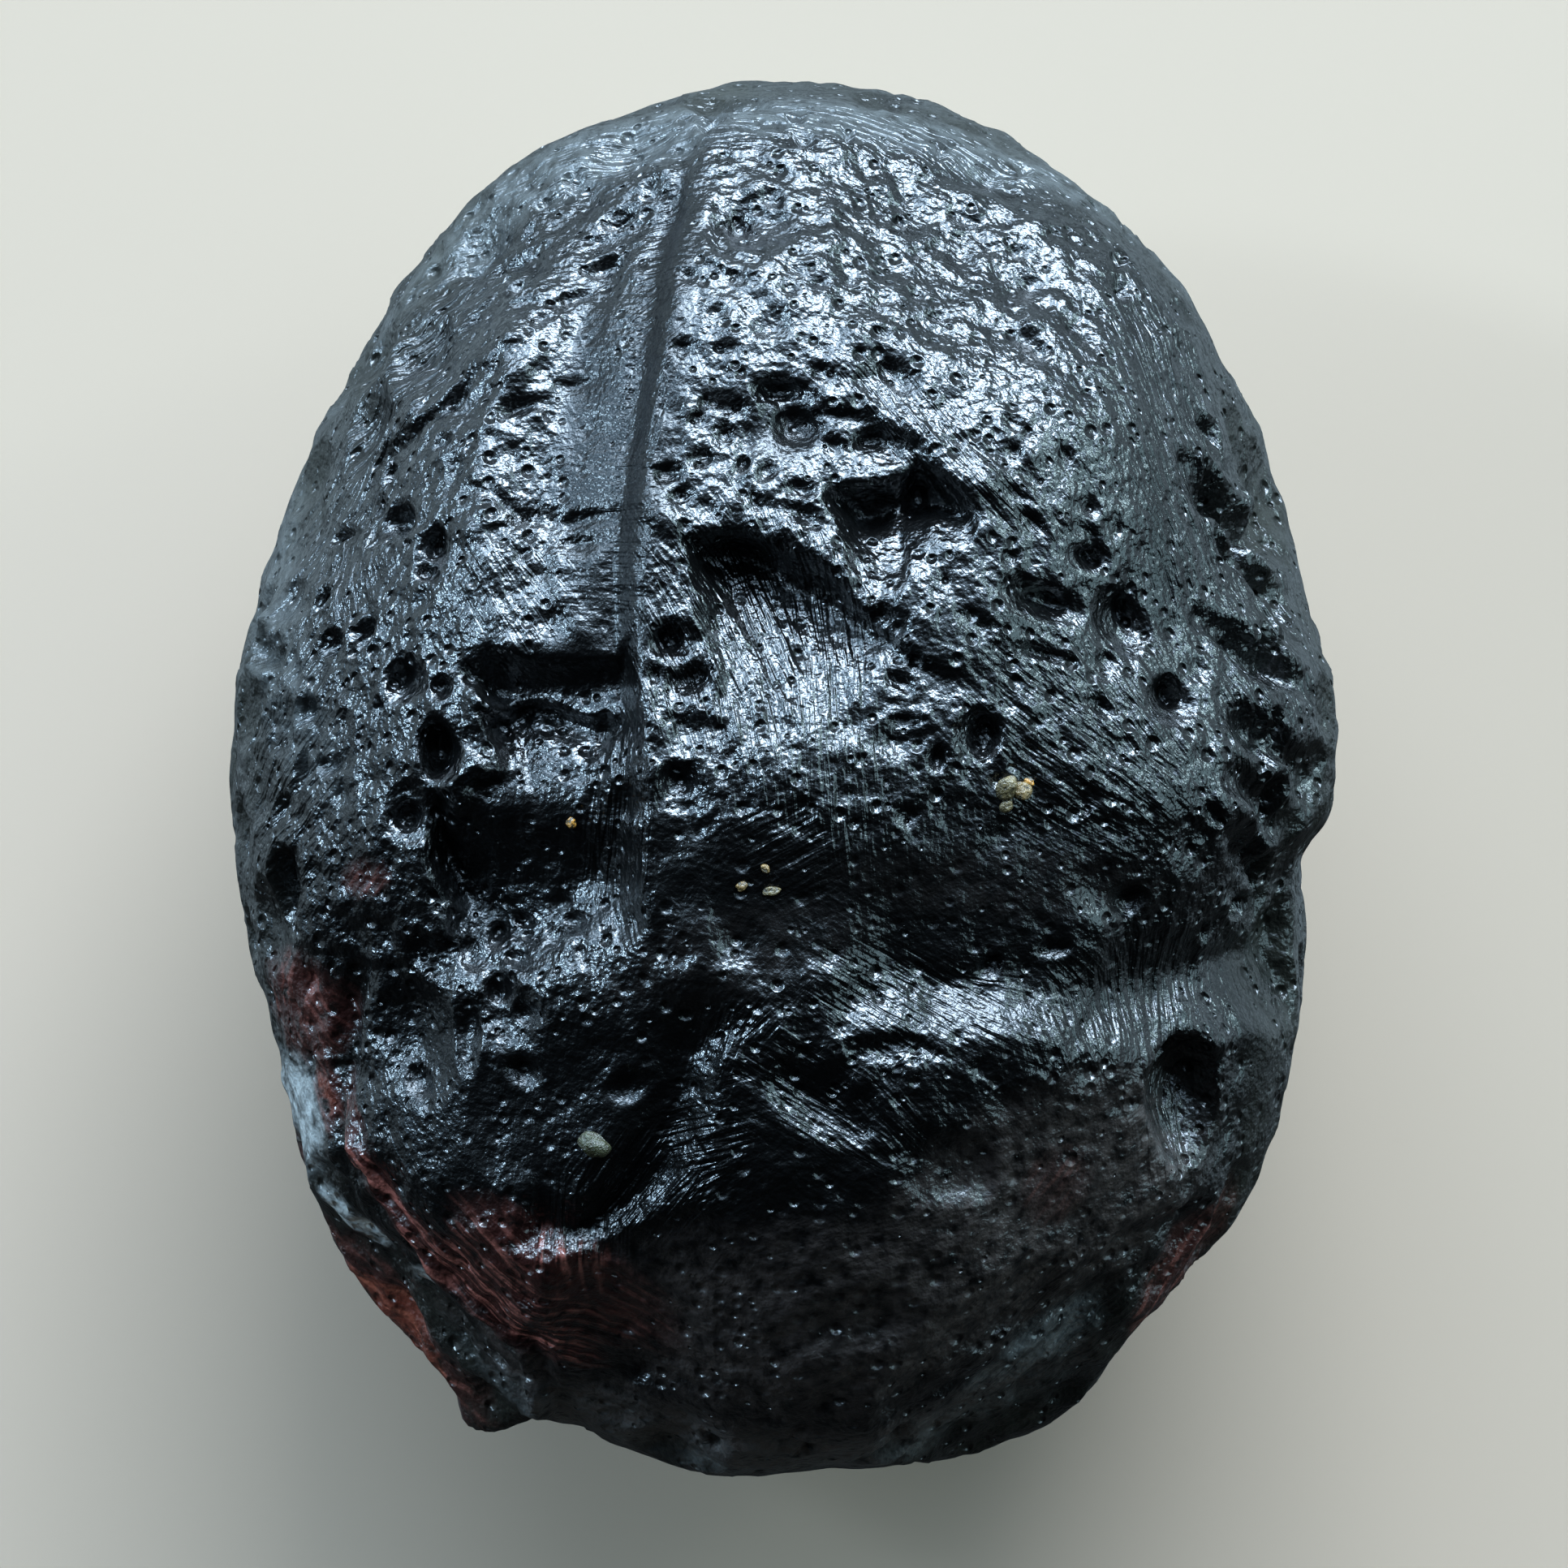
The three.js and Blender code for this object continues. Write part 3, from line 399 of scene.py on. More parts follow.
# Where the skin is calm: hardly pitted or lumpy.
CALM = (
    Blob(-6.3, 10.0, 1.2, 6.4, 3, 0.85), Blob(-4.4, 14.0, 0.9, 7.5, -6, 0.9),
    Blob(-5.2, 8.0, 0.9, 4.0, 0, 0.9), Blob(-13.4, 14.6, 3.4, 2.8, 45, 0.15),
    Blob(12.9, 8.0, 0.5, 9.0, 10, 0.6), Blob(-7.2, 3.8, 2.4, 1.0, 0, 0.7),
    Blob(-8.8, -1.2, 1.8, 1.7, 0, 0.5), Blob(-6.6, -12.3, 3.6, 3.6, 0, 0.6),
    Blob(-11.8, -11.6, 2.4, 2.8, 0, 0.7), Blob(10.0, -7.4, 5.4, 1.6, 0, 0.6),
    Blob(3.5, -4.0, 8.0, 1.8, 0, 0.6), Blob(-0.6, 4.6, 2.6, 2.6, 0, 0.1),
    Blob(3.0, -15.0, 8.0, 4.0, 0, 0.4), Blob(0.1, 11.8, 1.0, 0.9, 0, 0.85),
    Blob(-16.4, -11.6, 0.8, 2.0, -20, 0.9), Blob(16.6, -9.0, 1.2, 3.4, 0, 0.6),
)

# Where rust-brown soil has stained the glass. Where it is strongest, towards the broken lower-left edge, the
# stain is drawn as a brighter ochre that is partly painted light.
RUST = (
    Blob(-16.5, -7.8, 1.5, 2.1, -85, 0.85), Blob(-14.4, -3.4, 0.9, 0.5, 10, 0.6),
    Blob(-15.7, -10.8, 0.9, 0.6, -60, 0.95), Blob(-14.5, -12.8, 1.8, 0.5, -64, 0.88),
    Blob(-12.9, -15.9, 2.4, 0.8, -57, 0.88), Blob(-10.0, -18.8, 3.0, 1.1, -48, 0.88),
    Blob(-7.6, -17.6, 3.4, 1.6, -42, 0.7), Blob(-17.0, -15.0, 2.8, 1.8, -65, 1.0, UNDER),
    Blob(-14.2, -20.2, 3.4, 2.4, -53, 1.0, UNDER), Blob(9.4, -14.0, 1.0, 1.2, 0, 0.3),
    Blob(13.9, -16.6, 2.2, 1.6, 48, 0.8),
)

# Where chipped facets and worn edges are painted pale blue-grey: partly frosting and pale streaks, partly a
# painted highlight where the facets and the top edge would catch the lights.
FROST_AND_HIGHLIGHT = (
    Blob(-16.6, -11.3, 1.5, 2.4, -73, 1.0), Blob(-15.6, -15.3, 0.9, 1.0, -60, 1.0),
    Blob(-14.9, -16.6, 0.5, 0.9, -50, 1.0), Blob(-13.2, -18.1, 0.4, 0.6, -40, 1.0),
    Blob(0.0, 23.0, 12.0, 1.6, 0, 0.12), Blob(-17.6, 6.0, 1.6, 7.0, 0, 0.1),
    Blob(-7.4, -21.4, 2.4, 0.5, -32, 0.3), Blob(12.5, 18.0, 4.6, 1.6, -48, 0.08),
    Blob(8.8, -20.6, 2.2, 1.4, 45, 0.25), Blob(-1.0, -23.4, 8.0, 1.8, 0, 0.2),
)

# Where the skin is dull with fine dust: the lower half, and inside the broken edge.
DULL = (
    Blob(9.0, -15.5, 5.5, 4.0, 20, 1.0), Blob(1.0, -19.0, 6.5, 3.4, 5, 0.9),
    Blob(-1.0, -23.0, 9.0, 1.6, 0, 1.0), Blob(-2.0, -6.0, 4.0, 1.2, 12, 0.1),
    Blob(8.0, -3.6, 5.0, 1.0, -5, 0.1), Blob(-10.7, -20.0, 2.6, 1.0, -52, 0.8),
    Blob(-12.7, -17.2, 1.4, 0.8, -60, 0.5),
)

# Grains of sand and clay that lie caught in the hollows: place, half sizes, turn, tint from gold to olive.
Grain = namedtuple("Grain", "x y across along turn tint")
GRAINS = (
    Grain(7.6, -0.35, 0.42, 0.36, 20, 0.45), Grain(8.1, -0.45, 0.36, 0.3, -30, 0.35),
    Grain(7.6, -0.95, 0.26, 0.22, 60, 0.6), Grain(8.35, -0.15, 0.18, 0.15, 0, 0.0),
    Grain(-7.2, -1.55, 0.19, 0.18, 0, 0.0), Grain(-1.4, -3.7, 0.2, 0.15, 30, 0.3),
    Grain(-0.4, -3.85, 0.3, 0.17, 10, 0.4), Grain(-0.6, -3.1, 0.18, 0.14, -40, 0.3),
    Grain(-6.4, -12.5, 0.55, 0.45, -15, 1.0),
)

GRAIN_FLATNESS = 0.8  # a grain's height over its smaller half size
GRAIN_HILL = 0.7  # the size of its unevenness, as a share of its own
GRAIN_APART = 7.0  # how far apart in the random hills two grains are taken from
GRAIN_SEED = 41

# Wanders that every placed form is read off its place by: share, size in millimetres, step of the seed.
STRAY_WAVES = ((1.0, 2.1, 0), (0.5, 0.9, 3), (0.3, 0.5, 6))
STRAY_SEEDS = (21, 22, 23)  # one for each direction in space
STRAY_REACH = 0.3  # millimetres

# Lumps of the ground: height and size in millimetres, seed.
LUMPS = ((0.13, 3.6, 31), (0.11, 1.7, 32), (0.12, 0.85, 33))

# Bubbles cut open by the skin: spacing, least and greatest radius, depth for each millimetre of radius,
# share of the cells that hold one, millimetres that they stray, seed.
Bubbles = namedtuple("Bubbles", "cell radius slope share stray seed")
BUBBLES = (Bubbles(2.0, (0.3, 0.85), 0.32, 0.6, 0.25, 3), Bubbles(1.05, (0.2, 0.5), 0.42, 0.7, 0.15, 5))

# How steep the skin is where things change over, as the upward part of its normal: from, over.
CROWN_EDGE = (1.0, 0.6)  # from straight up and down, to along the normal
PITTED_EDGE = (0.75, 0.4)  # from no large pits, to all of them
WORN_EDGE = (0.62, 0.5)  # from no wear, to the worn rim

RANDOM_COUNT = 8192  # how many random numbers are kept for the cells in space to share
CELL_PRIMES = np.array([73856093, 19349663, 83492791])  # scatter the cells over those numbers
GOLDEN_ANGLE = math.pi * (3.0 - math.sqrt(5.0))

# ---------------------------------------------------------------- working out the form


def smooth(t):
    """The smooth step 3t^2 - 2t^3, held at 0 and 1 outside them."""
    t = np.clip(t, 0.0, 1.0)
    return t * t * (3.0 - 2.0 * t)


def outline_radius(bearing):
    """Plan radius at bearings in radians: a cubic through the outline's points, closed on itself,
    whose slope at a point is that of the chord between its neighbours."""
    angles = np.concatenate([OUTLINE[-2:, 0] - 360.0, OUTLINE[:, 0], OUTLINE[:2, 0] + 360.0])
    radii = np.concatenate([OUTLINE[-2:, 1], OUTLINE[:, 1], OUTLINE[:2, 1]])
    slopes = np.zeros_like(radii)
    slopes[1:-1] = (radii[2:] - radii[:-2]) / (angles[2:] - angles[:-2])
    angle = np.degrees(bearing) % 360.0
    i = np.searchsorted(angles, angle, side="right") - 1
    span = angles[i + 1] - angles[i]
    t = (angle - angles[i]) / span
    return (
        (2 * t**3 - 3 * t**2 + 1) * radii[i]
        + (t**3 - 2 * t**2 + t) * span * slopes[i]
        + (3 * t**2 - 2 * t**3) * radii[i + 1]
        + (t**3 - t**2) * span * slopes[i + 1]
    )


def egg_points(bearing, share, side):
    """The plain egg: the plan radius times the share, at a height that follows a superellipse."""
    radius = outline_radius(bearing) * share
    rise = (1.0 - np.minimum(share, 1.0) ** SECTION_POWER) ** (1.0 / SECTION_POWER)
    height = np.where(side > 0, CROWN_HEIGHT, -BELLY_DEPTH) * rise
    return np.stack([radius * np.cos(bearing), radius * np.sin(bearing), height], axis=-1)


def egg_normals(points):
    """The outward normal of the ellipsoid that fits the egg at each point."""
    radius = outline_radius(np.arctan2(points[..., 1], points[..., 0]))
    height = np.where(points[..., 2] > 0, CROWN_HEIGHT, BELLY_DEPTH)
    normal = points / np.stack([radius, radius, height], axis=-1) ** 2
    return normal / np.linalg.norm(normal, axis=-1, keepdims=True)


def place_on(x, y, side):
    """The place on the egg that is seen at (x, y) in plan."""
    bearing = np.arctan2(y, x)
    share = np.minimum(np.hypot(x, y) / outline_radius(bearing), EDGE_SHARE)
    return egg_points(bearing, share, np.full_like(share, side))


def tangents(normal, turn):
    """Two directions along the skin at one place: across, turned in plan by the degrees given, and along."""
    across = np.array([math.cos(math.radians(turn)), math.sin(math.radians(turn)), 0.0])
    across -= across.dot(normal) * normal
    across /= np.linalg.norm(across)
    return across, np.cross(normal, across)


def line_on(path, side):
    """A Catmull-Rom curve through places in plan, laid on the egg."""
    ends = [path[0], *path, path[-1]]
    before, start, end, after = (np.array(ends[k : k + len(path) - 1]) for k in range(4))
    before, start, end, after = (a[:, None, :] for a in (before, start, end, after))
    t = (np.arange(LINE_STEPS) / LINE_STEPS)[None, :, None]
    leave, arrive = (end - before) / 2.0, (after - start) / 2.0
    plan = (
        (2 * start - 2 * end + leave + arrive) * t**3
        + (-3 * start + 3 * end - 2 * leave - arrive) * t**2
        + leave * t
        + start
    ).reshape(-1, 2)
    plan = np.vstack([plan, path[-1]])
    return place_on(plan[:, 0], plan[:, 1], side)


def nearest_on_line(stops, points):
    """For each point: how far the line is, whether the point lies on its left, and how far along the
    line is from its start and from its end."""
    best = np.full(len(points), np.inf)
    left = np.zeros(len(points), bool)
    walked = np.zeros(len(points))
    reached = 0.0
    for start, end in zip(stops[:-1], stops[1:]):
        step = end - start
        length = np.linalg.norm(step)
        away = points - start
        share = np.clip(away @ step / length**2, 0.0, 1.0)
        offset = away - share[:, None] * step
        distance = np.linalg.norm(offset, axis=1)
        nearer = distance < best
        side = np.cross(step, offset) @ egg_normals(end)
        best = np.where(nearer, distance, best)
        left = np.where(nearer, side >= 0, left)
        walked = np.where(nearer, reached + share * length, walked)
        reached += length
    return best, left, walked, reached - walked


def flat_depth(points, flat):
    """How far each point stands outside a plane laid across the egg."""
    centre = place_on(flat.x, flat.y, flat.side)
    return np.maximum(0.0, (points - centre) @ egg_normals(centre) + flat.deep)


def dish_depth(points, centre, across_size, along_size, deep, turn=0.0, power=1.0, lip=0.0):
    """A bowl: its depth times (1 - q) to a power, q being the squared distance in half sizes. Round
    it a lip may stand up, a bell curve of the distance."""
    normal = egg_normals(centre)
    across, along = tangents(normal, turn)
    away = points - centre
    q = (away @ across / across_size) ** 2 + (away @ along / along_size) ** 2
    near = np.abs(away @ normal) < max(across_size, along_size)
    bowl = np.where(near & (q < 1.0), deep * np.maximum(1.0 - q, 0.0) ** power, 0.0)
    if lip:
        bell = np.exp(-(((np.sqrt(q) - LIP_PLACE) / LIP_WIDTH) ** 2))
        bowl -= np.where(near, lip * bell, 0.0)
    return bowl


def groove_depth(points, groove):
    """A rounded channel along a line, fading towards its ends."""
    distance, _, from_start, to_end = nearest_on_line(line_on(groove.path, groove.side), points)
    inward = smooth(np.minimum(from_start, to_end) / (2.0 * groove.reach))
    taper = GROOVE_END + (1.0 - GROOVE_END) * inward
    return groove.deep * taper * np.maximum(1.0 - (distance / groove.reach) ** 2, 0.0) ** 1.5


def scarp_depth(points, scarp):
    """A wall down to the left of a line, with ground that comes back up over the run. Towards each
    end of the line, over that end's fade, the wall gets lower and narrower alike."""
    distance, left, from_start, to_end = nearest_on_line(line_on(scarp.path, scarp.side), points)
    share = smooth(from_start / scarp.fade[0]) * smooth(to_end / scarp.fade[1])
    wall = scarp.wall * np.maximum(share, LEAST_WALL)
    rise = np.maximum(1.0 - distance / scarp.run, 0.0)
    return np.where(left, scarp.drop * share * smooth(distance / wall) * rise, 0.0)


def large_pit_depth(points):
    """Pits spread by the golden angle, each nudged and sized by a fixed hash of its number."""

    def chance(n):
        return (np.sin(n * 78.233) * 43758.5453) % 1.0

    i = np.arange(PIT_COUNT)
    height = 1.0 - 2.0 * (i + chance(i + 0.3)) / PIT_COUNT
    bearing = i * GOLDEN_ANGLE + chance(i + 0.6)
    centres = egg_points(bearing, np.sqrt(1.0 - height**2), np.sign(height))
    radii = PIT_RADIUS[0] + (PIT_RADIUS[1] - PIT_RADIUS[0]) * chance(i + 0.9) ** 2
    return sum(
        dish_depth(points, centre, radius, radius, radius * PIT_SLOPE)
        for centre, radius in zip(centres, radii)
    )


def swell_height(points):
    """Broad waves through space: each a height times the sine of a wave vector's dot product."""
    return sum(height * np.sin(points @ np.array(wave) + phase) for height, wave, phase in SWELLS)


def main_depth(points):
    """The large forms. Where they overlap, the deepest one leads."""
    depths = [flat_depth(points, f) for f in FLATS]
    for d in HOLLOWS:
        centre = place_on(d.x, d.y, d.side)
        depths.append(dish_depth(points, centre, d.across, d.along, d.deep, d.turn, d.power))
    depths += [groove_depth(points, g) for g in GROOVES]
    depths += [scarp_depth(points, s) for s in SCARPS]
    ribs = sum(groove_depth(points, r) for r in RIDGES)
    return np.cbrt(sum(depth**3 for depth in depths)) - ribs


def small_pit_depth(points):
    """The listed small pits and their lips. Where they overlap, the deepest one leads."""
    deepest, lips = np.zeros(len(points)), np.zeros(len(points))
    for d in SMALL_PITS:
        centre = place_on(d.x, d.y, d.side)
        deep, lip = SMALL_PIT_SHARE * d.deep, LIP_SHARE * d.deep
        depth = dish_depth(points, centre, d.across, d.along, deep, d.turn, d.power, lip)
        deepest, lips = np.maximum(deepest, depth), np.minimum(lips, depth)
    return deepest + lips


def hills(points, cell, seed):
    """Smooth random hills, -1 to 1: random heights on a lattice in space, eased between its corners."""
    table = np.random.default_rng(seed).uniform(-1.0, 1.0, RANDOM_COUNT)
    base = np.floor(points / cell).astype(np.int64)
    share = smooth(points / cell - base)
    height = np.zeros(len(points))
    for corner in itertools.product((0, 1), repeat=3):
        weight = np.where(corner, share, 1.0 - share).prod(axis=1)
        height += weight * table[((base + corner) * CELL_PRIMES).sum(axis=1) % len(table)]
    return height


def neighbour_cells(points, cell, seed):
    """Space cut into cubes, each with one random centre and random numbers of its own: for each of
    the 27 cubes round every point, the offset from that centre, and the numbers."""
    table = np.random.default_rng(seed).random((RANDOM_COUNT, 7))
    base = np.floor(points / cell).astype(np.int64)
    for shift in itertools.product((-1, 0, 1), repeat=3):
        cube = base + shift
        numbers = table[(cube * CELL_PRIMES).sum(axis=1) % len(table)]
        yield points - (cube + numbers[:, :3]) * cell, numbers[:, 3:]


def bubble_depth(points, bubbles):
    """Bubbles cut open by the skin, one in some of the cells of space, as bowls (1 - q)."""
    least, greatest = bubbles.radius
    deepest = np.zeros(len(points))
    for away, numbers in neighbour_cells(points, bubbles.cell, bubbles.seed):
        size = least + (greatest - least) * numbers[:, 0] ** 2
        q = (away**2).sum(axis=1) / size**2
        bowl = bubbles.slope * size * np.maximum(1.0 - q, 0.0)
        deepest = np.maximum(deepest, np.where(numbers[:, 1] < bubbles.share, bowl, 0.0))
    return deepest


def flow_line_height(points, across, along, spacing, length, seed):
    """Gabor noise: in each cell of space a wave that runs across the flow, inside a Gaussian that
    is stretched along the flow."""
    height = np.zeros(len(points))
    for away, numbers in neighbour_cells(points, length, seed):
        a, b = (away * across).sum(axis=1), (away * along).sum(axis=1)
        c2 = np.maximum((away**2).sum(axis=1) - a**2 - b**2, 0.0)
        fade = np.exp(-3.0 * (b / length) ** 2 - 8.0 * (a / length) ** 2 - 8.0 * c2 / length**2)
        wave = np.cos(2.0 * math.pi * (a / spacing + numbers[:, 0]))
        height += (2.0 * numbers[:, 1] - 1.0) * fade * wave
    return height


def flow_directions(points, normals):
    """Along the flow and across it, in the skin: the bearings listed, blended by distance."""
    doubled = np.radians(2.0 * FLOW[:, 2])
    distance = (points[:, None, 0] - FLOW[:, 0]) ** 2 + (points[:, None, 1] - FLOW[:, 1]) ** 2
    weight = 1.0 / (distance + FLOW_SOFTNESS) ** 2
    bearing = 0.5 * np.arctan2(weight @ np.sin(doubled), weight @ np.cos(doubled))
    along = np.stack([np.cos(bearing), np.sin(bearing), np.full_like(bearing, FLOW_CLIMB)], axis=1)
    along -= (along * normals).sum(axis=1, keepdims=True) * normals
    along /= np.linalg.norm(along, axis=1, keepdims=True)
    return along, np.cross(normals, along)


def flow_lays(points, quads):
    """Two straight lays of the flow for every corner of the grid, each as across, along and weight,
    in millimetres. A lay is the frame of the nearest of many anchors on the egg, and the weights fall
    to nothing where an anchor gives way to the next."""
    i = np.arange(LAY_COUNT)
    height = 1.0 - 2.0 * (i + 0.5) / LAY_COUNT
    anchors = egg_points(i * GOLDEN_ANGLE, np.sqrt(1.0 - height**2), np.sign(height))
    along, across = flow_directions(anchors, egg_normals(anchors))
    middle = points[quads].mean(axis=1)
    nearest = np.concatenate([
        np.argpartition(((part[:, None] - anchors) ** 2).sum(axis=2), 3, axis=1)[:, :3]
        for part in np.array_split(middle, 64)
    ])
    reach = np.linalg.norm(middle[:, None] - anchors[nearest], axis=2)
    nearest = np.take_along_axis(nearest, np.argsort(reach, axis=1), axis=1)
    corner = points[quads]
    reach = np.linalg.norm(corner[:, :, None] - anchors[nearest][:, None], axis=3)
    weight = np.maximum(reach[:, :, 2:] - reach[:, :, :2], 1e-6)
    weight /= np.linalg.norm(weight, axis=2, keepdims=True)
    lays = []
    for k in (0, 1):
        chosen = nearest[:, k]
        lay = np.stack([
            (corner * across[chosen][:, None]).sum(axis=2),
            (corner * along[chosen][:, None]).sum(axis=2),
            weight[:, :, k],
        ], axis=2)
        lays.append(lay.reshape(-1, 3))
    return lays


def blobs(points, table):
    """The strongest of a table of soft patches at each point, 0 to 1."""
    strongest = np.zeros(len(points))
    for b in table:
        centre = place_on(b.x, b.y, b.side)
        across, along = BLOB_REACH * b.across, BLOB_REACH * b.along
        patch = BLOB_PLATEAU * dish_depth(points, centre, across, along, b.strength, b.turn)
        strongest = np.maximum(strongest, np.minimum(patch, b.strength))
    return strongest


def cube_sphere(cells):
    """Directions on a closed grid: each of a cube's six sides is a square of two parameters, bent by
    the tangent so that its cells come out even, and the six are joined where they meet."""
    t = np.tan(np.linspace(-1.0, 1.0, cells + 1) * math.pi / 4.0)
    u, v = np.meshgrid(t, t, indexing="ij")
    one = np.ones_like(u)
    sides = ((u, v, one), (v, u, -one), (one, u, v), (-one, v, u), (v, one, u), (u, -one, v))
    points = np.concatenate([np.stack(side, axis=-1).reshape(-1, 3) for side in sides])
    corner = np.arange((cells + 1) ** 2).reshape(cells + 1, cells + 1)
    quads = np.stack([corner[:-1, :-1], corner[1:, :-1], corner[1:, 1:], corner[:-1, 1:]], axis=-1)
    quads = np.concatenate([quads.reshape(-1, 4) + k * corner.size for k in range(6)])
    points /= np.linalg.norm(points, axis=1, keepdims=True)
    _, first, joined = np.unique(points.round(9), axis=0, return_index=True, return_inverse=True)
    return points[first], joined.reshape(-1)[quads]


def changeover(upward, edge):
    """From 0 to 1 as the skin tips away from level, over the edge given."""
    return smooth((edge[0] - upward) / edge[1])


def stone_skin(settings):
    """The whole skin: points in millimetres, quads, and what the material needs at each point."""
    direction, quads = cube_sphere(settings.cells)
    tilt = np.arccos(np.clip(direction[:, 2], -1.0, 1.0))
    drawn = tilt - settings.crown_share * np.sin(tilt)
    bearing = np.arctan2(direction[:, 1], direction[:, 0])
    egg = egg_points(bearing, np.sin(drawn), np.where(np.cos(drawn) >= 0, UPPER, UNDER))
    normals = egg_normals(egg)
    along, across = flow_directions(egg, normals)
    strength = FLOW_FLOOR + (1.0 - FLOW_FLOOR) * blobs(egg, FLOW_STRENGTH)
    uneven = 1.0 - CALM_SHARE * blobs(egg, CALM)
    # straight up and down near the crown, so that a form stays where it is placed in plan
    spread = changeover(np.abs(normals[:, 2:]), CROWN_EDGE)
    outward = normals * np.hstack([spread, spread, np.ones_like(spread)])
    outward /= (outward * normals).sum(axis=1, keepdims=True)
    # every placed form is read a little off its place, so that no edge comes out as a plain curve
    stray = np.stack([
        sum(share * hills(egg, size, seed + step) for share, size, step in STRAY_WAVES)
        for seed in STRAY_SEEDS
    ], axis=1)
    read = egg + STRAY_REACH * uneven[:, None] * stray
    sunk = main_depth(read) + small_pit_depth(read)
    sunk += changeover(normals[:, 2], PITTED_EDGE) * large_pit_depth(read)
    sunk += sum(groove_depth(read, line) for line in HAIRLINES)
    opened = sum(bubble_depth(egg + bubbles.stray * stray, bubbles) for bubbles in BUBBLES)
    sunk += uneven * (opened - opened.mean())
    lumps = sum(lift * hills(egg, size, seed) for lift, size, seed in LUMPS)
    lines = sum(
        lift * flow_line_height(egg, across, along, share * settings.line_spacing, length, seed)
        for lift, share, length, seed in FLOW_WAVES
    )
    height = swell_height(egg) - sunk + uneven * lumps + settings.line_height * strength * lines
    points = egg + height[:, None] * outward
    lays = flow_lays(egg, quads)
    return seat(points), quads, {
        "flow_lay_1": lays[0] * (MM, MM, 1.0),
        "flow_lay_2": lays[1] * (MM, MM, 1.0),
        "flow_strength": strength,
        "uneven": uneven,
        "rust": blobs(egg, RUST),
        "frost_and_highlight": blobs(egg, FROST_AND_HIGHLIGHT),
        "dull": blobs(egg, DULL),
        "rim": changeover(np.abs(normals[:, 2]), WORN_EDGE),
    }


def grain_lumps(skin, settings):
    """The lodged grains as one mesh: rounded lumps half sunk into the skin, with a tint at each point."""
    direction, quads = cube_sphere(settings.cells)
    top = skin[skin[:, 2] > skin[:, 2].mean()]
    points, faces, tints = [], [], []
    for k, grain in enumerate(GRAINS):
        reach = np.hypot(top[:, 0] - grain.x, top[:, 1] - grain.y)
        floor = top[np.argsort(reach)[:6], 2].mean()
        size = np.array([grain.across, grain.along, GRAIN_FLATNESS * min(grain.across, grain.along)])
        bulge = 1.0 + settings.roughness * hills(direction + GRAIN_APART * k, GRAIN_HILL, GRAIN_SEED)
        cosine, sine = math.cos(math.radians(grain.turn)), math.sin(math.radians(grain.turn))
        spin = np.array([[cosine, sine, 0.0], [-sine, cosine, 0.0], [0.0, 0.0, 1.0]])
        place = (grain.x, grain.y, floor + settings.rise * size[2])
        faces.append(quads + k * len(direction))
        points.append((direction * size * bulge[:, None]) @ spin + place)
        tints.append(np.full(len(direction), grain.tint))
    return np.vstack(points), np.vstack(faces), {"tint": np.concatenate(tints)}


def seat(points):
    """Wears the belly flat and fits the stone into the CAD solid's box."""
    points[:, 2] = np.maximum(points[:, 2], points[:, 2].min() + FLAT_SPOT_CUT)
    low, high = points.min(axis=0), points.max(axis=0)
    box_low, box_high = (np.array(corner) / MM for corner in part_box(STONE_NODE))
    return box_low + (points - low) * (box_high - box_low) / (high - low)


# ---------------------------------------------------------------- materials

# Stains on the glass, dark and pale: brown rust, paler on the raised flow lines as a painted highlight, and
# a brighter ochre that is partly a stain and partly painted light on the broken lower-left edge.
RUST_AND_HIGHLIGHT_TONES = ("#351713", "#8c5046")
OCHRE_AND_PAINTED_LIGHT_TONES = ("#5c281c", "#a05842")
PAINTED_LIGHT_OCHRE_START = 0.9  # how strong the rust is where it turns to ochre

# Noises over the glass: name, size in millimetres, detail.
GLASS_NOISES = (("patchy", 2.5, 4.0), ("ragged", 0.6, 5.0), ("cobbles", 0.75, 2.5), ("grain", 0.2, 2.0))

# How each kind of ground breaks up: its name, a noise, and where in that noise it starts and is full.
BROKEN_GROUND = (
    ("rim", "patchy", 0.25, 0.75),
    ("frost_and_highlight", "ragged", 0.3, 0.6),
    ("dull", "ragged", 0.3, 0.65),
    ("rust", "ragged", 0.28, 0.5),
)
ROUGHER_GROUND = (("rim", 0.1), ("dull", 0.25), ("rust", 0.15))  # what it adds to the roughness
DULLER_GROUND = (("rim", 0.75), ("dull", 0.5))  # what it takes from the gloss
GLASS_GLOSS = (0.26, 0.85)  # weight of the gloss on the calm ground, and on the uneven

LINE_STRETCH = 9.0  # length of a fine line over its width
PINPRICK_REACH = (0.1, 0.4)  # least radius of a pinprick, and how much it varies, in its cells
PINPRICK_BRIM = 0.85  # how high a pinprick's surroundings stand, as a share of its depth

GLASS_IOR = 1.5
CRUMB_SIZE = 0.14  # millimetres
CRUMB_HEIGHT = 0.12  # millimetres

# The room that the gloss mirrors, dark and lit: its air and its ground. And the room as looked at.
AIR_TONES = ("#0c0d0f", "#8fa8ba")
GROUND_TONES = ("#1b1e20", "#9fb6c4")
PLAIN_ROOM = "#8f9395"
ROOM_STRENGTH = 2.0


def linear(hex_colour):
    """An sRGB hex colour as the linear RGBA that Blender's sockets take."""
    parts = [int(hex_colour[i : i + 2], 16) / 255.0 for i in (1, 3, 5)]
    rgb = [c / 12.92 if c <= 0.04045 else ((c + 0.055) / 1.055) ** 2.4 for c in parts]
    return (*rgb, 1.0)


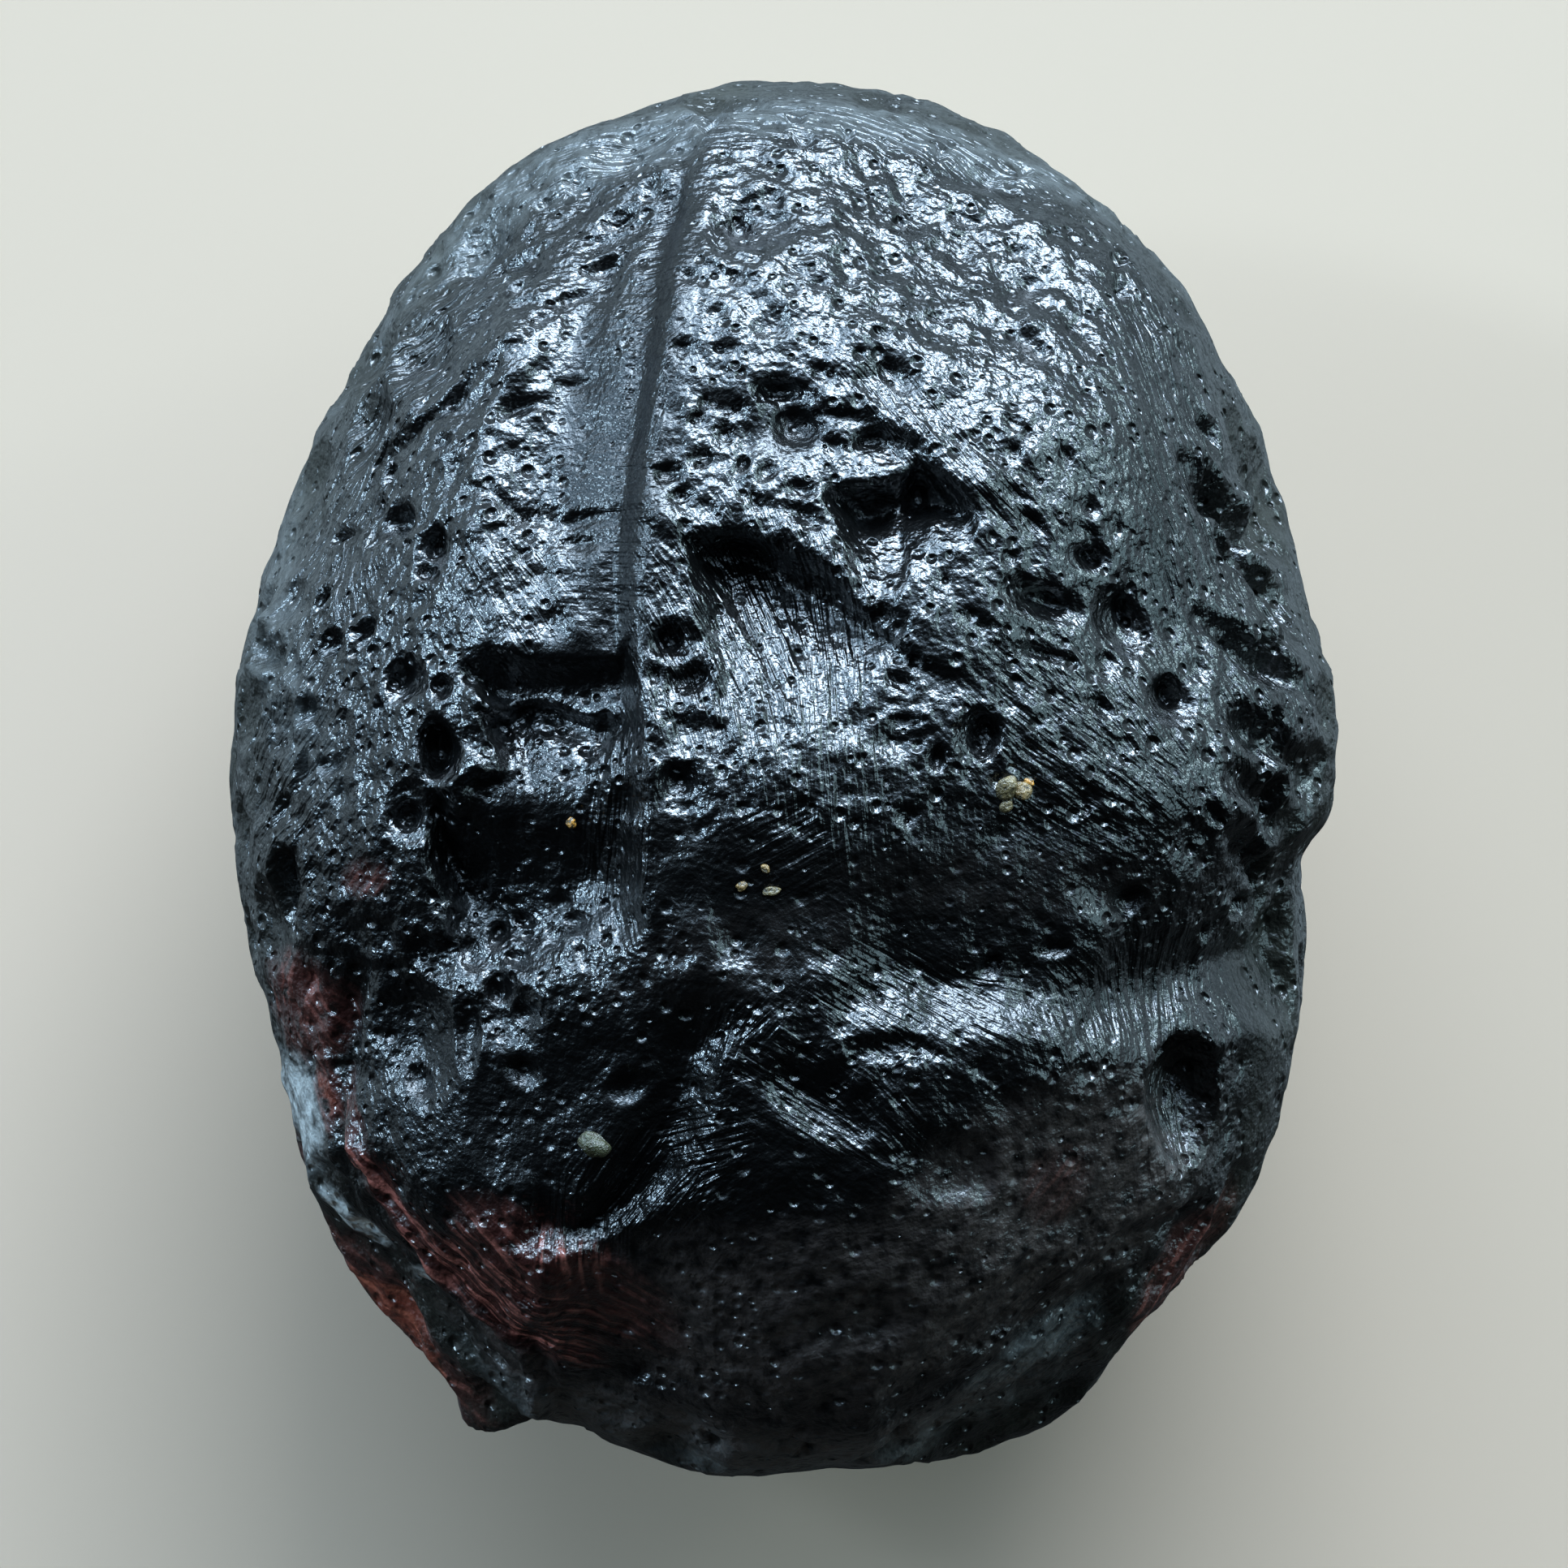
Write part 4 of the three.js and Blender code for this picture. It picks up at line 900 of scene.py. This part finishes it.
def add(tree, kind, inputs=None, **settings):
    """Adds a node, sets its properties, and fills its inputs with values or with other sockets."""
    made = tree.nodes.new("ShaderNode" + kind)
    for name, value in settings.items():
        setattr(made, name, value)
    for key, value in (inputs or {}).items():
        if isinstance(value, bpy.types.NodeSocket):
            tree.links.new(value, made.inputs[key])
        else:
            made.inputs[key].default_value = value
    return made


def new_material(name):
    """An empty node material and its tree."""
    material = bpy.data.materials.new(name)
    material.use_nodes = True
    material.node_tree.nodes.clear()
    return material, material.node_tree


def etched_natural_glass(settings):
    """Black impact glass, etched by soil water. It is opaque at this thickness and has no colour of
    its own, so the eye sees only its gloss: hard glints on every flow line and pit wall, a softer
    sheen on the worn rim, rust-brown where iron soaked in, and grey where fine dust holds on. Some
    light is painted in too: the pale frost on the chipped facets and the top edge is partly a painted
    highlight, the rust is paler on the raised flow lines as a painted highlight, and at the broken
    edge it turns to a brighter ochre that is partly painted light."""
    material, tree = new_material("etched natural glass")
    here = add(tree, "TexCoord").outputs["Object"]
    kept = {
        name: add(tree, "Attribute", attribute_name=name).outputs["Fac"]
        for name in ("flow_strength", "uneven", "rust", "frost_and_highlight", "dull", "rim")
    }
    noises = {}
    for name, size, detail in GLASS_NOISES:
        noise = add(tree, "TexNoise", {"Vector": here, "Scale": 1.0 / (size * MM), "Detail": detail})
        noises[name] = noise.outputs["Fac"]

    # fine flow lines: noise stretched along two lays of the flow, each faded by its weight
    width = settings.fine_line_spacing * MM
    lines = 0.0
    for lay in ("flow_lay_1", "flow_lay_2"):
        vector = add(tree, "Attribute", attribute_name=lay).outputs["Vector"]
        across, along, weight = add(tree, "SeparateXYZ", {0: vector}).outputs
        squeezed = add(tree, "CombineXYZ", {
            0: add(tree, "Math", {0: across, 1: width}, operation="DIVIDE").outputs[0],
            1: add(tree, "Math", {0: along, 1: LINE_STRETCH * width}, operation="DIVIDE").outputs[0],
        }).outputs[0]
        drawn = add(
            tree, "TexNoise",
            {"Vector": squeezed, "Scale": 1.0, "Detail": 2.0, "Roughness": 0.55, "Distortion": 0.25},
            noise_dimensions="2D",
        ).outputs["Fac"]
        centred = add(tree, "Math", {0: drawn, 1: 0.5}, operation="SUBTRACT").outputs[0]
        lines = add(tree, "Math", {0: centred, 1: weight, 2: lines}, operation="MULTIPLY_ADD").outputs[0]
    lines = add(tree, "Math", {0: lines, 1: kept["flow_strength"]}, operation="MULTIPLY").outputs[0]

    # pinprick pits of uneven size
    scale = 1.0 / (settings.pinprick_spacing * MM)
    cell = add(tree, "TexVoronoi", {"Vector": here, "Scale": scale}, feature="F1").outputs
    chance = add(tree, "SeparateColor", {0: cell["Color"]}).outputs[0]
    least, more = PINPRICK_REACH
    reach = add(tree, "Math", {0: chance, 1: more, 2: least}, operation="MULTIPLY_ADD").outputs[0]
    inside = add(tree, "Math", {0: cell["Distance"], 1: reach}, operation="DIVIDE").outputs[0]
    pits = add(
        tree, "MapRange", {0: inside, 1: 0.2, 2: 1.0}, interpolation_type="SMOOTHSTEP"
    ).outputs[0]

    # the height in millimetres: each form, the level that counts as even, where it shows, its height
    height = 0.0
    for form, level, where, lift in (
        (noises["grain"], 0.0, 1.0, settings.grain_height),
        (lines, 0.0, 1.0, settings.fine_line_height),
        (pits, PINPRICK_BRIM, kept["uneven"], settings.pinprick_depth),
        (noises["cobbles"], 0.5, kept["uneven"], settings.cobble_height),
    ):
        form = add(tree, "Math", {0: form, 1: level}, operation="SUBTRACT").outputs[0]
        form = add(tree, "Math", {0: form, 1: where}, operation="MULTIPLY").outputs[0]
        height = add(tree, "Math", {0: form, 1: lift, 2: height}, operation="MULTIPLY_ADD").outputs[0]
    bump = add(tree, "Bump", {"Height": height, "Distance": MM, "Strength": 1.0}).outputs["Normal"]

    ground = {}
    for name, noise, start, full in BROKEN_GROUND:
        broken = add(tree, "MapRange", {0: noises[noise], 1: start, 2: full}).outputs[0]
        ground[name] = add(tree, "Math", {0: kept[name], 1: broken}, operation="MULTIPLY").outputs[0]

    # rust is paler on the raised flow lines, a painted highlight on the fibres, and where it is strongest it
    # turns to a brighter ochre, partly stain and partly painted light on the broken edge
    fibre_highlight = add(tree, "MapRange", {0: lines, 1: 0.0, 2: 0.08}).outputs[0]
    rust, painted_light_ochre = (
        add(tree, "Mix", {0: fibre_highlight, 6: linear(dark), 7: linear(pale)}, data_type="RGBA").outputs[2]
        for dark, pale in (RUST_AND_HIGHLIGHT_TONES, OCHRE_AND_PAINTED_LIGHT_TONES)
    )
    baked = add(tree, "MapRange", {0: kept["rust"], 1: PAINTED_LIGHT_OCHRE_START, 2: 1.0}).outputs[0]
    stain_and_painted_light = add(tree, "Mix", {0: baked, 6: rust, 7: painted_light_ochre}, data_type="RGBA").outputs[2]

    # the layers over the black glass: the worn rim, the frost that is partly a painted highlight, the dust,
    # and the rust with its painted highlight and painted-light ochre
    colour = linear(settings.glass_colour)
    for name, laid in (
        ("rim", linear(settings.worn_colour)),
        ("frost_and_highlight", linear(settings.frost_and_highlight_colour)),
        ("dull", linear(settings.dust_colour)),
        ("rust", stain_and_painted_light),
    ):
        colour = add(tree, "Mix", {0: ground[name], 6: colour, 7: laid}, data_type="RGBA").outputs[2]

    rough, bright = settings.etch_roughness, 1.0
    for name, more in ROUGHER_GROUND:
        parts = {0: ground[name], 1: more, 2: rough}
        rough = add(tree, "Math", parts, operation="MULTIPLY_ADD").outputs[0]
    for name, less in DULLER_GROUND:
        parts = {0: ground[name], 1: -less, 2: bright}
        bright = add(tree, "Math", parts, operation="MULTIPLY_ADD").outputs[0]
    calm_gloss, full_gloss = GLASS_GLOSS
    gloss = add(
        tree, "MapRange", {0: kept["uneven"], 1: 0.15, 2: 0.9, 3: calm_gloss, 4: full_gloss}
    ).outputs[0]
    gloss = add(tree, "Math", {0: gloss, 1: bright}, operation="MULTIPLY").outputs[0]

    shader = add(tree, "BsdfPrincipled", {
        "Base Color": colour, "Roughness": rough, "IOR": GLASS_IOR, "Specular IOR Level": 0.22,
        "Normal": bump, "Coat Weight": gloss, "Coat Roughness": settings.gloss_roughness,
        "Coat IOR": GLASS_IOR, "Coat Normal": bump,
    })
    add(tree, "OutputMaterial", {"Surface": shader.outputs[0]})
    return material


def lodged_grain_stone(settings):
    """Sand and baked clay left in the hollows: gold, tan and olive grains, half matt, that catch warm
    light against the black glass."""
    material, tree = new_material("sand and clay grains")
    tint = add(tree, "Attribute", attribute_name="tint").outputs["Fac"]
    here = add(tree, "TexCoord").outputs["Object"]
    scale = 1.0 / (CRUMB_SIZE * MM)
    crumbs = add(tree, "TexNoise", {"Vector": here, "Scale": scale, "Detail": 3.0}).outputs["Fac"]
    colour = linear(settings.gold_colour)
    for start, full, laid in ((0.0, 0.4, settings.tan_colour), (0.6, 1.0, settings.olive_colour)):
        share = add(tree, "MapRange", {0: tint, 1: start, 2: full}).outputs[0]
        colour = add(tree, "Mix", {0: share, 6: colour, 7: linear(laid)}, data_type="RGBA").outputs[2]
    clean = add(tree, "MapRange", {0: crumbs, 1: 0.35, 2: 0.55}).outputs[0]
    dirt = linear(settings.dirt_colour)
    colour = add(tree, "Mix", {0: clean, 6: dirt, 7: colour}, data_type="RGBA").outputs[2]
    bump = add(
        tree, "Bump", {"Height": crumbs, "Distance": CRUMB_HEIGHT * MM, "Strength": 1.0}
    ).outputs["Normal"]
    shader = add(tree, "BsdfPrincipled", {"Base Color": colour, "Roughness": settings.gloss, "Normal": bump})
    add(tree, "OutputMaterial", {"Surface": shader.outputs[0]})
    return material


def matt_board(settings):
    """Pale uncoated card: an even matt surface that shows only the soft shadow."""
    material, tree = new_material("matt card")
    shader = add(tree, "BsdfPrincipled", {
        "Base Color": linear(settings.table_colour), "Roughness": 1.0, "Specular IOR Level": 0.0,
    })
    add(tree, "OutputMaterial", {"Surface": shader.outputs[0]})
    return material


def studio_room():
    """The room round the table. Looked at straight, it is plain and pale. What the stone's gloss
    mirrors is a dim blue room towards the lights and to both sides, dark on the near side, with dim
    panels in it that the gloss shows as patches."""
    world = bpy.data.worlds.new("studio")
    world.use_nodes = True
    tree = world.node_tree
    tree.nodes.clear()
    around = add(tree, "TexCoord").outputs["Generated"]
    x, y, z = add(tree, "SeparateXYZ", {0: around}).outputs
    left = add(tree, "Math", {0: x, 1: -0.4}, operation="MULTIPLY").outputs[0]
    right = add(tree, "Math", {0: x, 1: 0.42}, operation="MULTIPLY").outputs[0]
    sideways = add(tree, "Math", {0: left, 1: right}, operation="MAXIMUM").outputs[0]
    lit = add(tree, "Math", {0: y, 1: sideways}, operation="ADD").outputs[0]
    towards = add(tree, "MapRange", {0: lit, 1: -0.05, 2: 0.6}).outputs[0]
    patches = add(tree, "TexNoise", {"Vector": around, "Scale": 8.0, "Detail": 2.0}).outputs["Fac"]
    panels = add(tree, "MapRange", {0: patches, 1: 0.4, 2: 0.6, 3: 0.1, 4: 1.2}).outputs[0]
    towards = add(tree, "Math", {0: towards, 1: panels}, operation="MULTIPLY").outputs[0]
    air, ground = (
        add(tree, "Mix", {0: towards, 6: linear(dark), 7: linear(pale)}, data_type="RGBA").outputs[2]
        for dark, pale in (AIR_TONES, GROUND_TONES)
    )
    above = add(tree, "MapRange", {0: z, 1: -0.12, 2: 0.02}).outputs[0]
    mirrored = add(tree, "Mix", {0: above, 6: ground, 7: air}, data_type="RGBA").outputs[2]
    seen = add(tree, "LightPath").outputs["Is Camera Ray"]
    plain = linear(PLAIN_ROOM)
    colour = add(tree, "Mix", {0: seen, 6: mirrored, 7: plain}, data_type="RGBA").outputs[2]
    background = add(tree, "Background", {"Color": colour, "Strength": ROOM_STRENGTH})
    add(tree, "OutputWorld", {"Surface": background.outputs[0]})
    return world


# ---------------------------------------------------------------- objects

# The lights: name, place and size in metres, brightness of each square metre, colour.
SoftBox = namedtuple("SoftBox", "name place size radiance tint")
LIGHTS = (
    SoftBox("key_box", (0.46, 2.06, 1.02), (1.45, 0.92), 26.0, "#dceeff"),
    SoftBox("key_halo", (0.12, 2.08, 1.15), (2.9, 1.5), 9.5, "#c8e4ff"),
    SoftBox("glow_box", (0.2, 2.1, 0.9), (3.6, 1.7), 2.4, "#a8d2f4"),
    SoftBox("low_box", (-0.5, 2.1, 0.32), (3.2, 0.56), 7.5, "#cfe8ff"),
    SoftBox("side_box", (-1.83, 0.97, 0.84), (2.2, 1.5), 2.2, "#9cccf4"),
    SoftBox("side_strip", (-1.92, 0.66, 0.86), (0.24, 1.1), 54.0, "#c4e4fc"),
    SoftBox("right_box", (2.15, 0.42, 0.68), (2.5, 1.4), 3.0, "#b4dce8"),
    SoftBox("right_strip", (1.9, 1.1, 0.72), (0.26, 1.3), 20.0, "#c8e6ee"),
    SoftBox("sail", (0.6, 1.9, 2.0), (4.0, 2.6), 1.7, "#bce0ff"),
)
STONE_MIDDLE = Vector((0.0, 0.0, 0.014))  # metres, at the stone's widest level
CAMERA_ASIDE = (0.00003, -0.00022)  # metres that the camera stands off the stone's middle
SENSOR_WIDTH = 36.0  # millimetres
TABLE_REACH = 1500.0  # millimetres from the middle to an edge


def mesh_object(name, points, quads, material):
    """A smooth-shaded mesh object from points in millimetres and quads."""
    mesh = bpy.data.meshes.new(name)
    mesh.vertices.add(len(points))
    mesh.vertices.foreach_set("co", (points * MM).astype(np.float32).ravel())
    mesh.loops.add(quads.size)
    mesh.loops.foreach_set("vertex_index", quads.astype(np.int32).ravel())
    mesh.polygons.add(len(quads))
    mesh.polygons.foreach_set("loop_start", np.arange(0, quads.size, 4, dtype=np.int32))
    mesh.polygons.foreach_set("use_smooth", np.ones(len(quads), bool))
    mesh.update(calc_edges=True)
    mesh.validate()
    mesh.materials.append(material)
    made = bpy.data.objects.new(name, mesh)
    bpy.context.scene.collection.objects.link(made)
    return made


def store_attributes(mesh, values):
    """Keeps numbers and vectors at the mesh's points, for its material to read."""
    for name, value in values.items():
        kind, field = ("FLOAT_VECTOR", "vector") if value.ndim == 2 else ("FLOAT", "value")
        domain = "POINT" if len(value) == len(mesh.vertices) else "CORNER"
        mesh.attributes.new(name, kind, domain).data.foreach_set(field, value.astype(np.float32).ravel())


def soft_box(box):
    """A rectangular light turned to the stone."""
    light = bpy.data.lights.new(box.name, "AREA")
    light.shape = "RECTANGLE"
    light.size, light.size_y = box.size
    light.energy = box.radiance * math.pi * box.size[0] * box.size[1]
    light.color = linear(box.tint)[:3]
    made = bpy.data.objects.new(box.name, light)
    made.location = box.place
    made.rotation_euler = (STONE_MIDDLE - Vector(box.place)).to_track_quat("-Z", "Y").to_euler()
    bpy.context.scene.collection.objects.link(made)


# ---------------------------------------------------------------- the add-on


class TektiteStoneSettings(bpy.types.PropertyGroup):
    """Sizes, colours and finish of the stone's skin. Lengths are in millimetres."""

    cells: IntProperty(
        name="Cells", description="Grid cells along each edge of the cube that the skin is bent from",
        default=128, min=16, max=128,
    )
    crown_share: FloatProperty(
        name="Crown share", description="How far the grid is drawn up from the under side to the crown",
        default=0.3, min=0.0, max=0.5, subtype="FACTOR",
    )
    line_spacing: FloatProperty(
        name="Flow line spacing", description="Millimetres between the coarse flow lines",
        default=0.95, min=0.4, max=3.0,
    )
    line_height: FloatProperty(
        name="Flow line height", description="Millimetres that the coarse flow lines stand up",
        default=0.07, min=0.0, max=0.5,
    )
    fine_line_spacing: FloatProperty(
        name="Fine line spacing", description="Millimetres between the fine flow lines",
        default=0.36, min=0.05, max=2.0,
    )
    fine_line_height: FloatProperty(
        name="Fine line height", description="Millimetres that the fine flow lines stand up",
        default=0.2, min=0.0, max=0.5,
    )
    pinprick_spacing: FloatProperty(
        name="Pinprick spacing", description="Millimetres between the pinprick pits",
        default=0.66, min=0.1, max=3.0,
    )
    pinprick_depth: FloatProperty(
        name="Pinprick depth", description="Millimetres that the pinprick pits are deep",
        default=0.17, min=0.0, max=0.3,
    )
    cobble_height: FloatProperty(
        name="Cobble height", description="Millimetres of the uneven ground between the pits",
        default=0.28, min=0.0, max=1.0,
    )
    grain_height: FloatProperty(
        name="Grain height", description="Millimetres of the fine etched grain",
        default=0.06, min=0.0, max=0.1,
    )
    gloss_roughness: FloatProperty(
        name="Gloss roughness", description="Roughness of the glass where it is clean",
        default=0.12, min=0.0, max=1.0, subtype="FACTOR",
    )
    etch_roughness: FloatProperty(
        name="Etch roughness", description="Roughness of the fine etching under the gloss",
        default=0.3, min=0.0, max=1.0, subtype="FACTOR",
    )
    glass_colour: StringProperty(
        name="Glass colour", description="sRGB hex colour of the clean glass", default="#050505",
    )
    worn_colour: StringProperty(
        name="Worn colour", description="sRGB hex colour of the worn rim", default="#24241f",
    )
    # the pale frost colour, partly a painted highlight on the chipped facets and the top edge
    frost_and_highlight_colour: StringProperty(
        name="Frost colour", description="sRGB hex colour of the chipped facets", default="#9ba0a0",
    )
    dust_colour: StringProperty(
        name="Dust colour", description="sRGB hex colour of the fine dust", default="#352e2b",
    )


class TektiteGrainSettings(bpy.types.PropertyGroup):
    """Form, colours and finish of the grains lodged in the hollows."""

    cells: IntProperty(
        name="Cells", description="Grid cells along each edge of the cube that a grain is bent from",
        default=8, min=2, max=24,
    )
    roughness: FloatProperty(
        name="Unevenness", description="How far a grain strays from an egg, as a share of its size",
        default=0.25, min=0.0, max=0.6, subtype="FACTOR",
    )
    rise: FloatProperty(
        name="Rise", description="How far a grain's middle stands above the skin, as a share of its height",
        default=0.1, min=-0.5, max=0.8, subtype="FACTOR",
    )
    gloss: FloatProperty(
        name="Gloss roughness", description="Roughness of the grains",
        default=0.4, min=0.0, max=1.0, subtype="FACTOR",
    )
    gold_colour: StringProperty(
        name="Gold colour", description="sRGB hex colour of the yellowest grains", default="#996a24",
    )
    tan_colour: StringProperty(
        name="Tan colour", description="sRGB hex colour of the tan grains", default="#5a4e32",
    )
    olive_colour: StringProperty(
        name="Olive colour", description="sRGB hex colour of the greenest grains", default="#2f301b",
    )
    dirt_colour: StringProperty(
        name="Dirt colour", description="sRGB hex colour of the dirt between the crumbs", default="#2c271a",
    )


class TektiteStageSettings(bpy.types.PropertyGroup):
    """The table, the lights and the camera."""

    table_colour: StringProperty(
        name="Table colour", description="sRGB hex colour of the card table", default="#a4917f",
    )
    frame_width: FloatProperty(
        name="Frame width", description="Width of the picture at the stone's widest level",
        default=0.0539, unit="LENGTH", subtype="DISTANCE",
    )
    lens: FloatProperty(
        name="Lens", description="Focal length in millimetres on a 36 mm frame", default=800.0,
    )


class OBJECT_OT_tektite_stone(bpy.types.Operator):
    """Adds the stone in place of its CAD solid"""

    bl_idname = "object.tektite_stone"
    bl_label = "Tektite stone"

    def execute(self, context):
        settings = context.scene.tektite_stone
        points, quads, values = stone_skin(settings)
        stone = mesh_object("tektite_skin", points, quads, etched_natural_glass(settings))
        store_attributes(stone.data, values)
        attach(stone, BODY)
        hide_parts(STONE_NODE)
        return {"FINISHED"}


class OBJECT_OT_tektite_grains(bpy.types.Operator):
    """Adds the grains of sand and clay lodged in the stone's hollows"""

    bl_idname = "object.tektite_grains"
    bl_label = "Tektite grains"

    def execute(self, context):
        settings = context.scene.tektite_grains
        vertices = bpy.data.objects["tektite_skin"].data.vertices
        skin = np.zeros(3 * len(vertices))
        vertices.foreach_get("co", skin)
        points, quads, values = grain_lumps(skin.reshape(-1, 3) / MM, settings)
        grains = mesh_object("lodged_grains", points, quads, lodged_grain_stone(settings))
        store_attributes(grains.data, values)
        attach(grains, BODY)
        return {"FINISHED"}


class OBJECT_OT_tektite_stage(bpy.types.Operator):
    """Adds the pale table, the soft lights and the camera straight above"""

    bl_idname = "object.tektite_stage"
    bl_label = "Tektite stage"

    def execute(self, context):
        scene = context.scene
        settings = scene.tektite_stage
        corners = np.array([[-1, -1, 0], [1, -1, 0], [1, 1, 0], [-1, 1, 0]]) * TABLE_REACH
        table = mesh_object("table", corners, np.array([[0, 1, 2, 3]]), matt_board(settings))
        table.visible_glossy = False
        for box in LIGHTS:
            soft_box(box)

        scene.world = studio_room()
        scene.view_settings.view_transform = "Standard"

        camera = bpy.data.objects.new("camera", bpy.data.cameras.new("camera"))
        camera.data.lens = settings.lens
        camera.data.sensor_width = SENSOR_WIDTH
        distance = settings.frame_width * settings.lens / SENSOR_WIDTH
        camera.location = (*CAMERA_ASIDE, STONE_MIDDLE.z + distance)
        camera.data.clip_start = 0.01
        scene.collection.objects.link(camera)
        scene.camera = camera
        return {"FINISHED"}


class VIEW3D_PT_tektite(bpy.types.Panel):
    """Lists the stone, its lodged grains and its stage"""

    bl_label = "Tektite"
    bl_idname = "VIEW3D_PT_tektite"
    bl_space_type = "VIEW_3D"
    bl_region_type = "UI"
    bl_category = "Tektite"

    def draw(self, context):
        for group in ("tektite_stone", "tektite_grains", "tektite_stage"):
            settings = getattr(context.scene, group)
            for name in settings.__annotations__:
                self.layout.prop(settings, name)
            self.layout.operator("object." + group)


CLASSES = (
    TektiteStoneSettings,
    TektiteGrainSettings,
    TektiteStageSettings,
    OBJECT_OT_tektite_stone,
    OBJECT_OT_tektite_grains,
    OBJECT_OT_tektite_stage,
    VIEW3D_PT_tektite,
)


def register():
    for cls in CLASSES:
        bpy.utils.register_class(cls)
    bpy.types.Scene.tektite_stone = PointerProperty(type=TektiteStoneSettings)
    bpy.types.Scene.tektite_grains = PointerProperty(type=TektiteGrainSettings)
    bpy.types.Scene.tektite_stage = PointerProperty(type=TektiteStageSettings)


def unregister():
    del bpy.types.Scene.tektite_stage
    del bpy.types.Scene.tektite_grains
    del bpy.types.Scene.tektite_stone
    for cls in reversed(CLASSES):
        bpy.utils.unregister_class(cls)


def main():
    register()
    bpy.ops.object.tektite_stage()
    bpy.ops.object.tektite_stone()
    bpy.ops.object.tektite_grains()


if __name__ == "__main__":
    main()
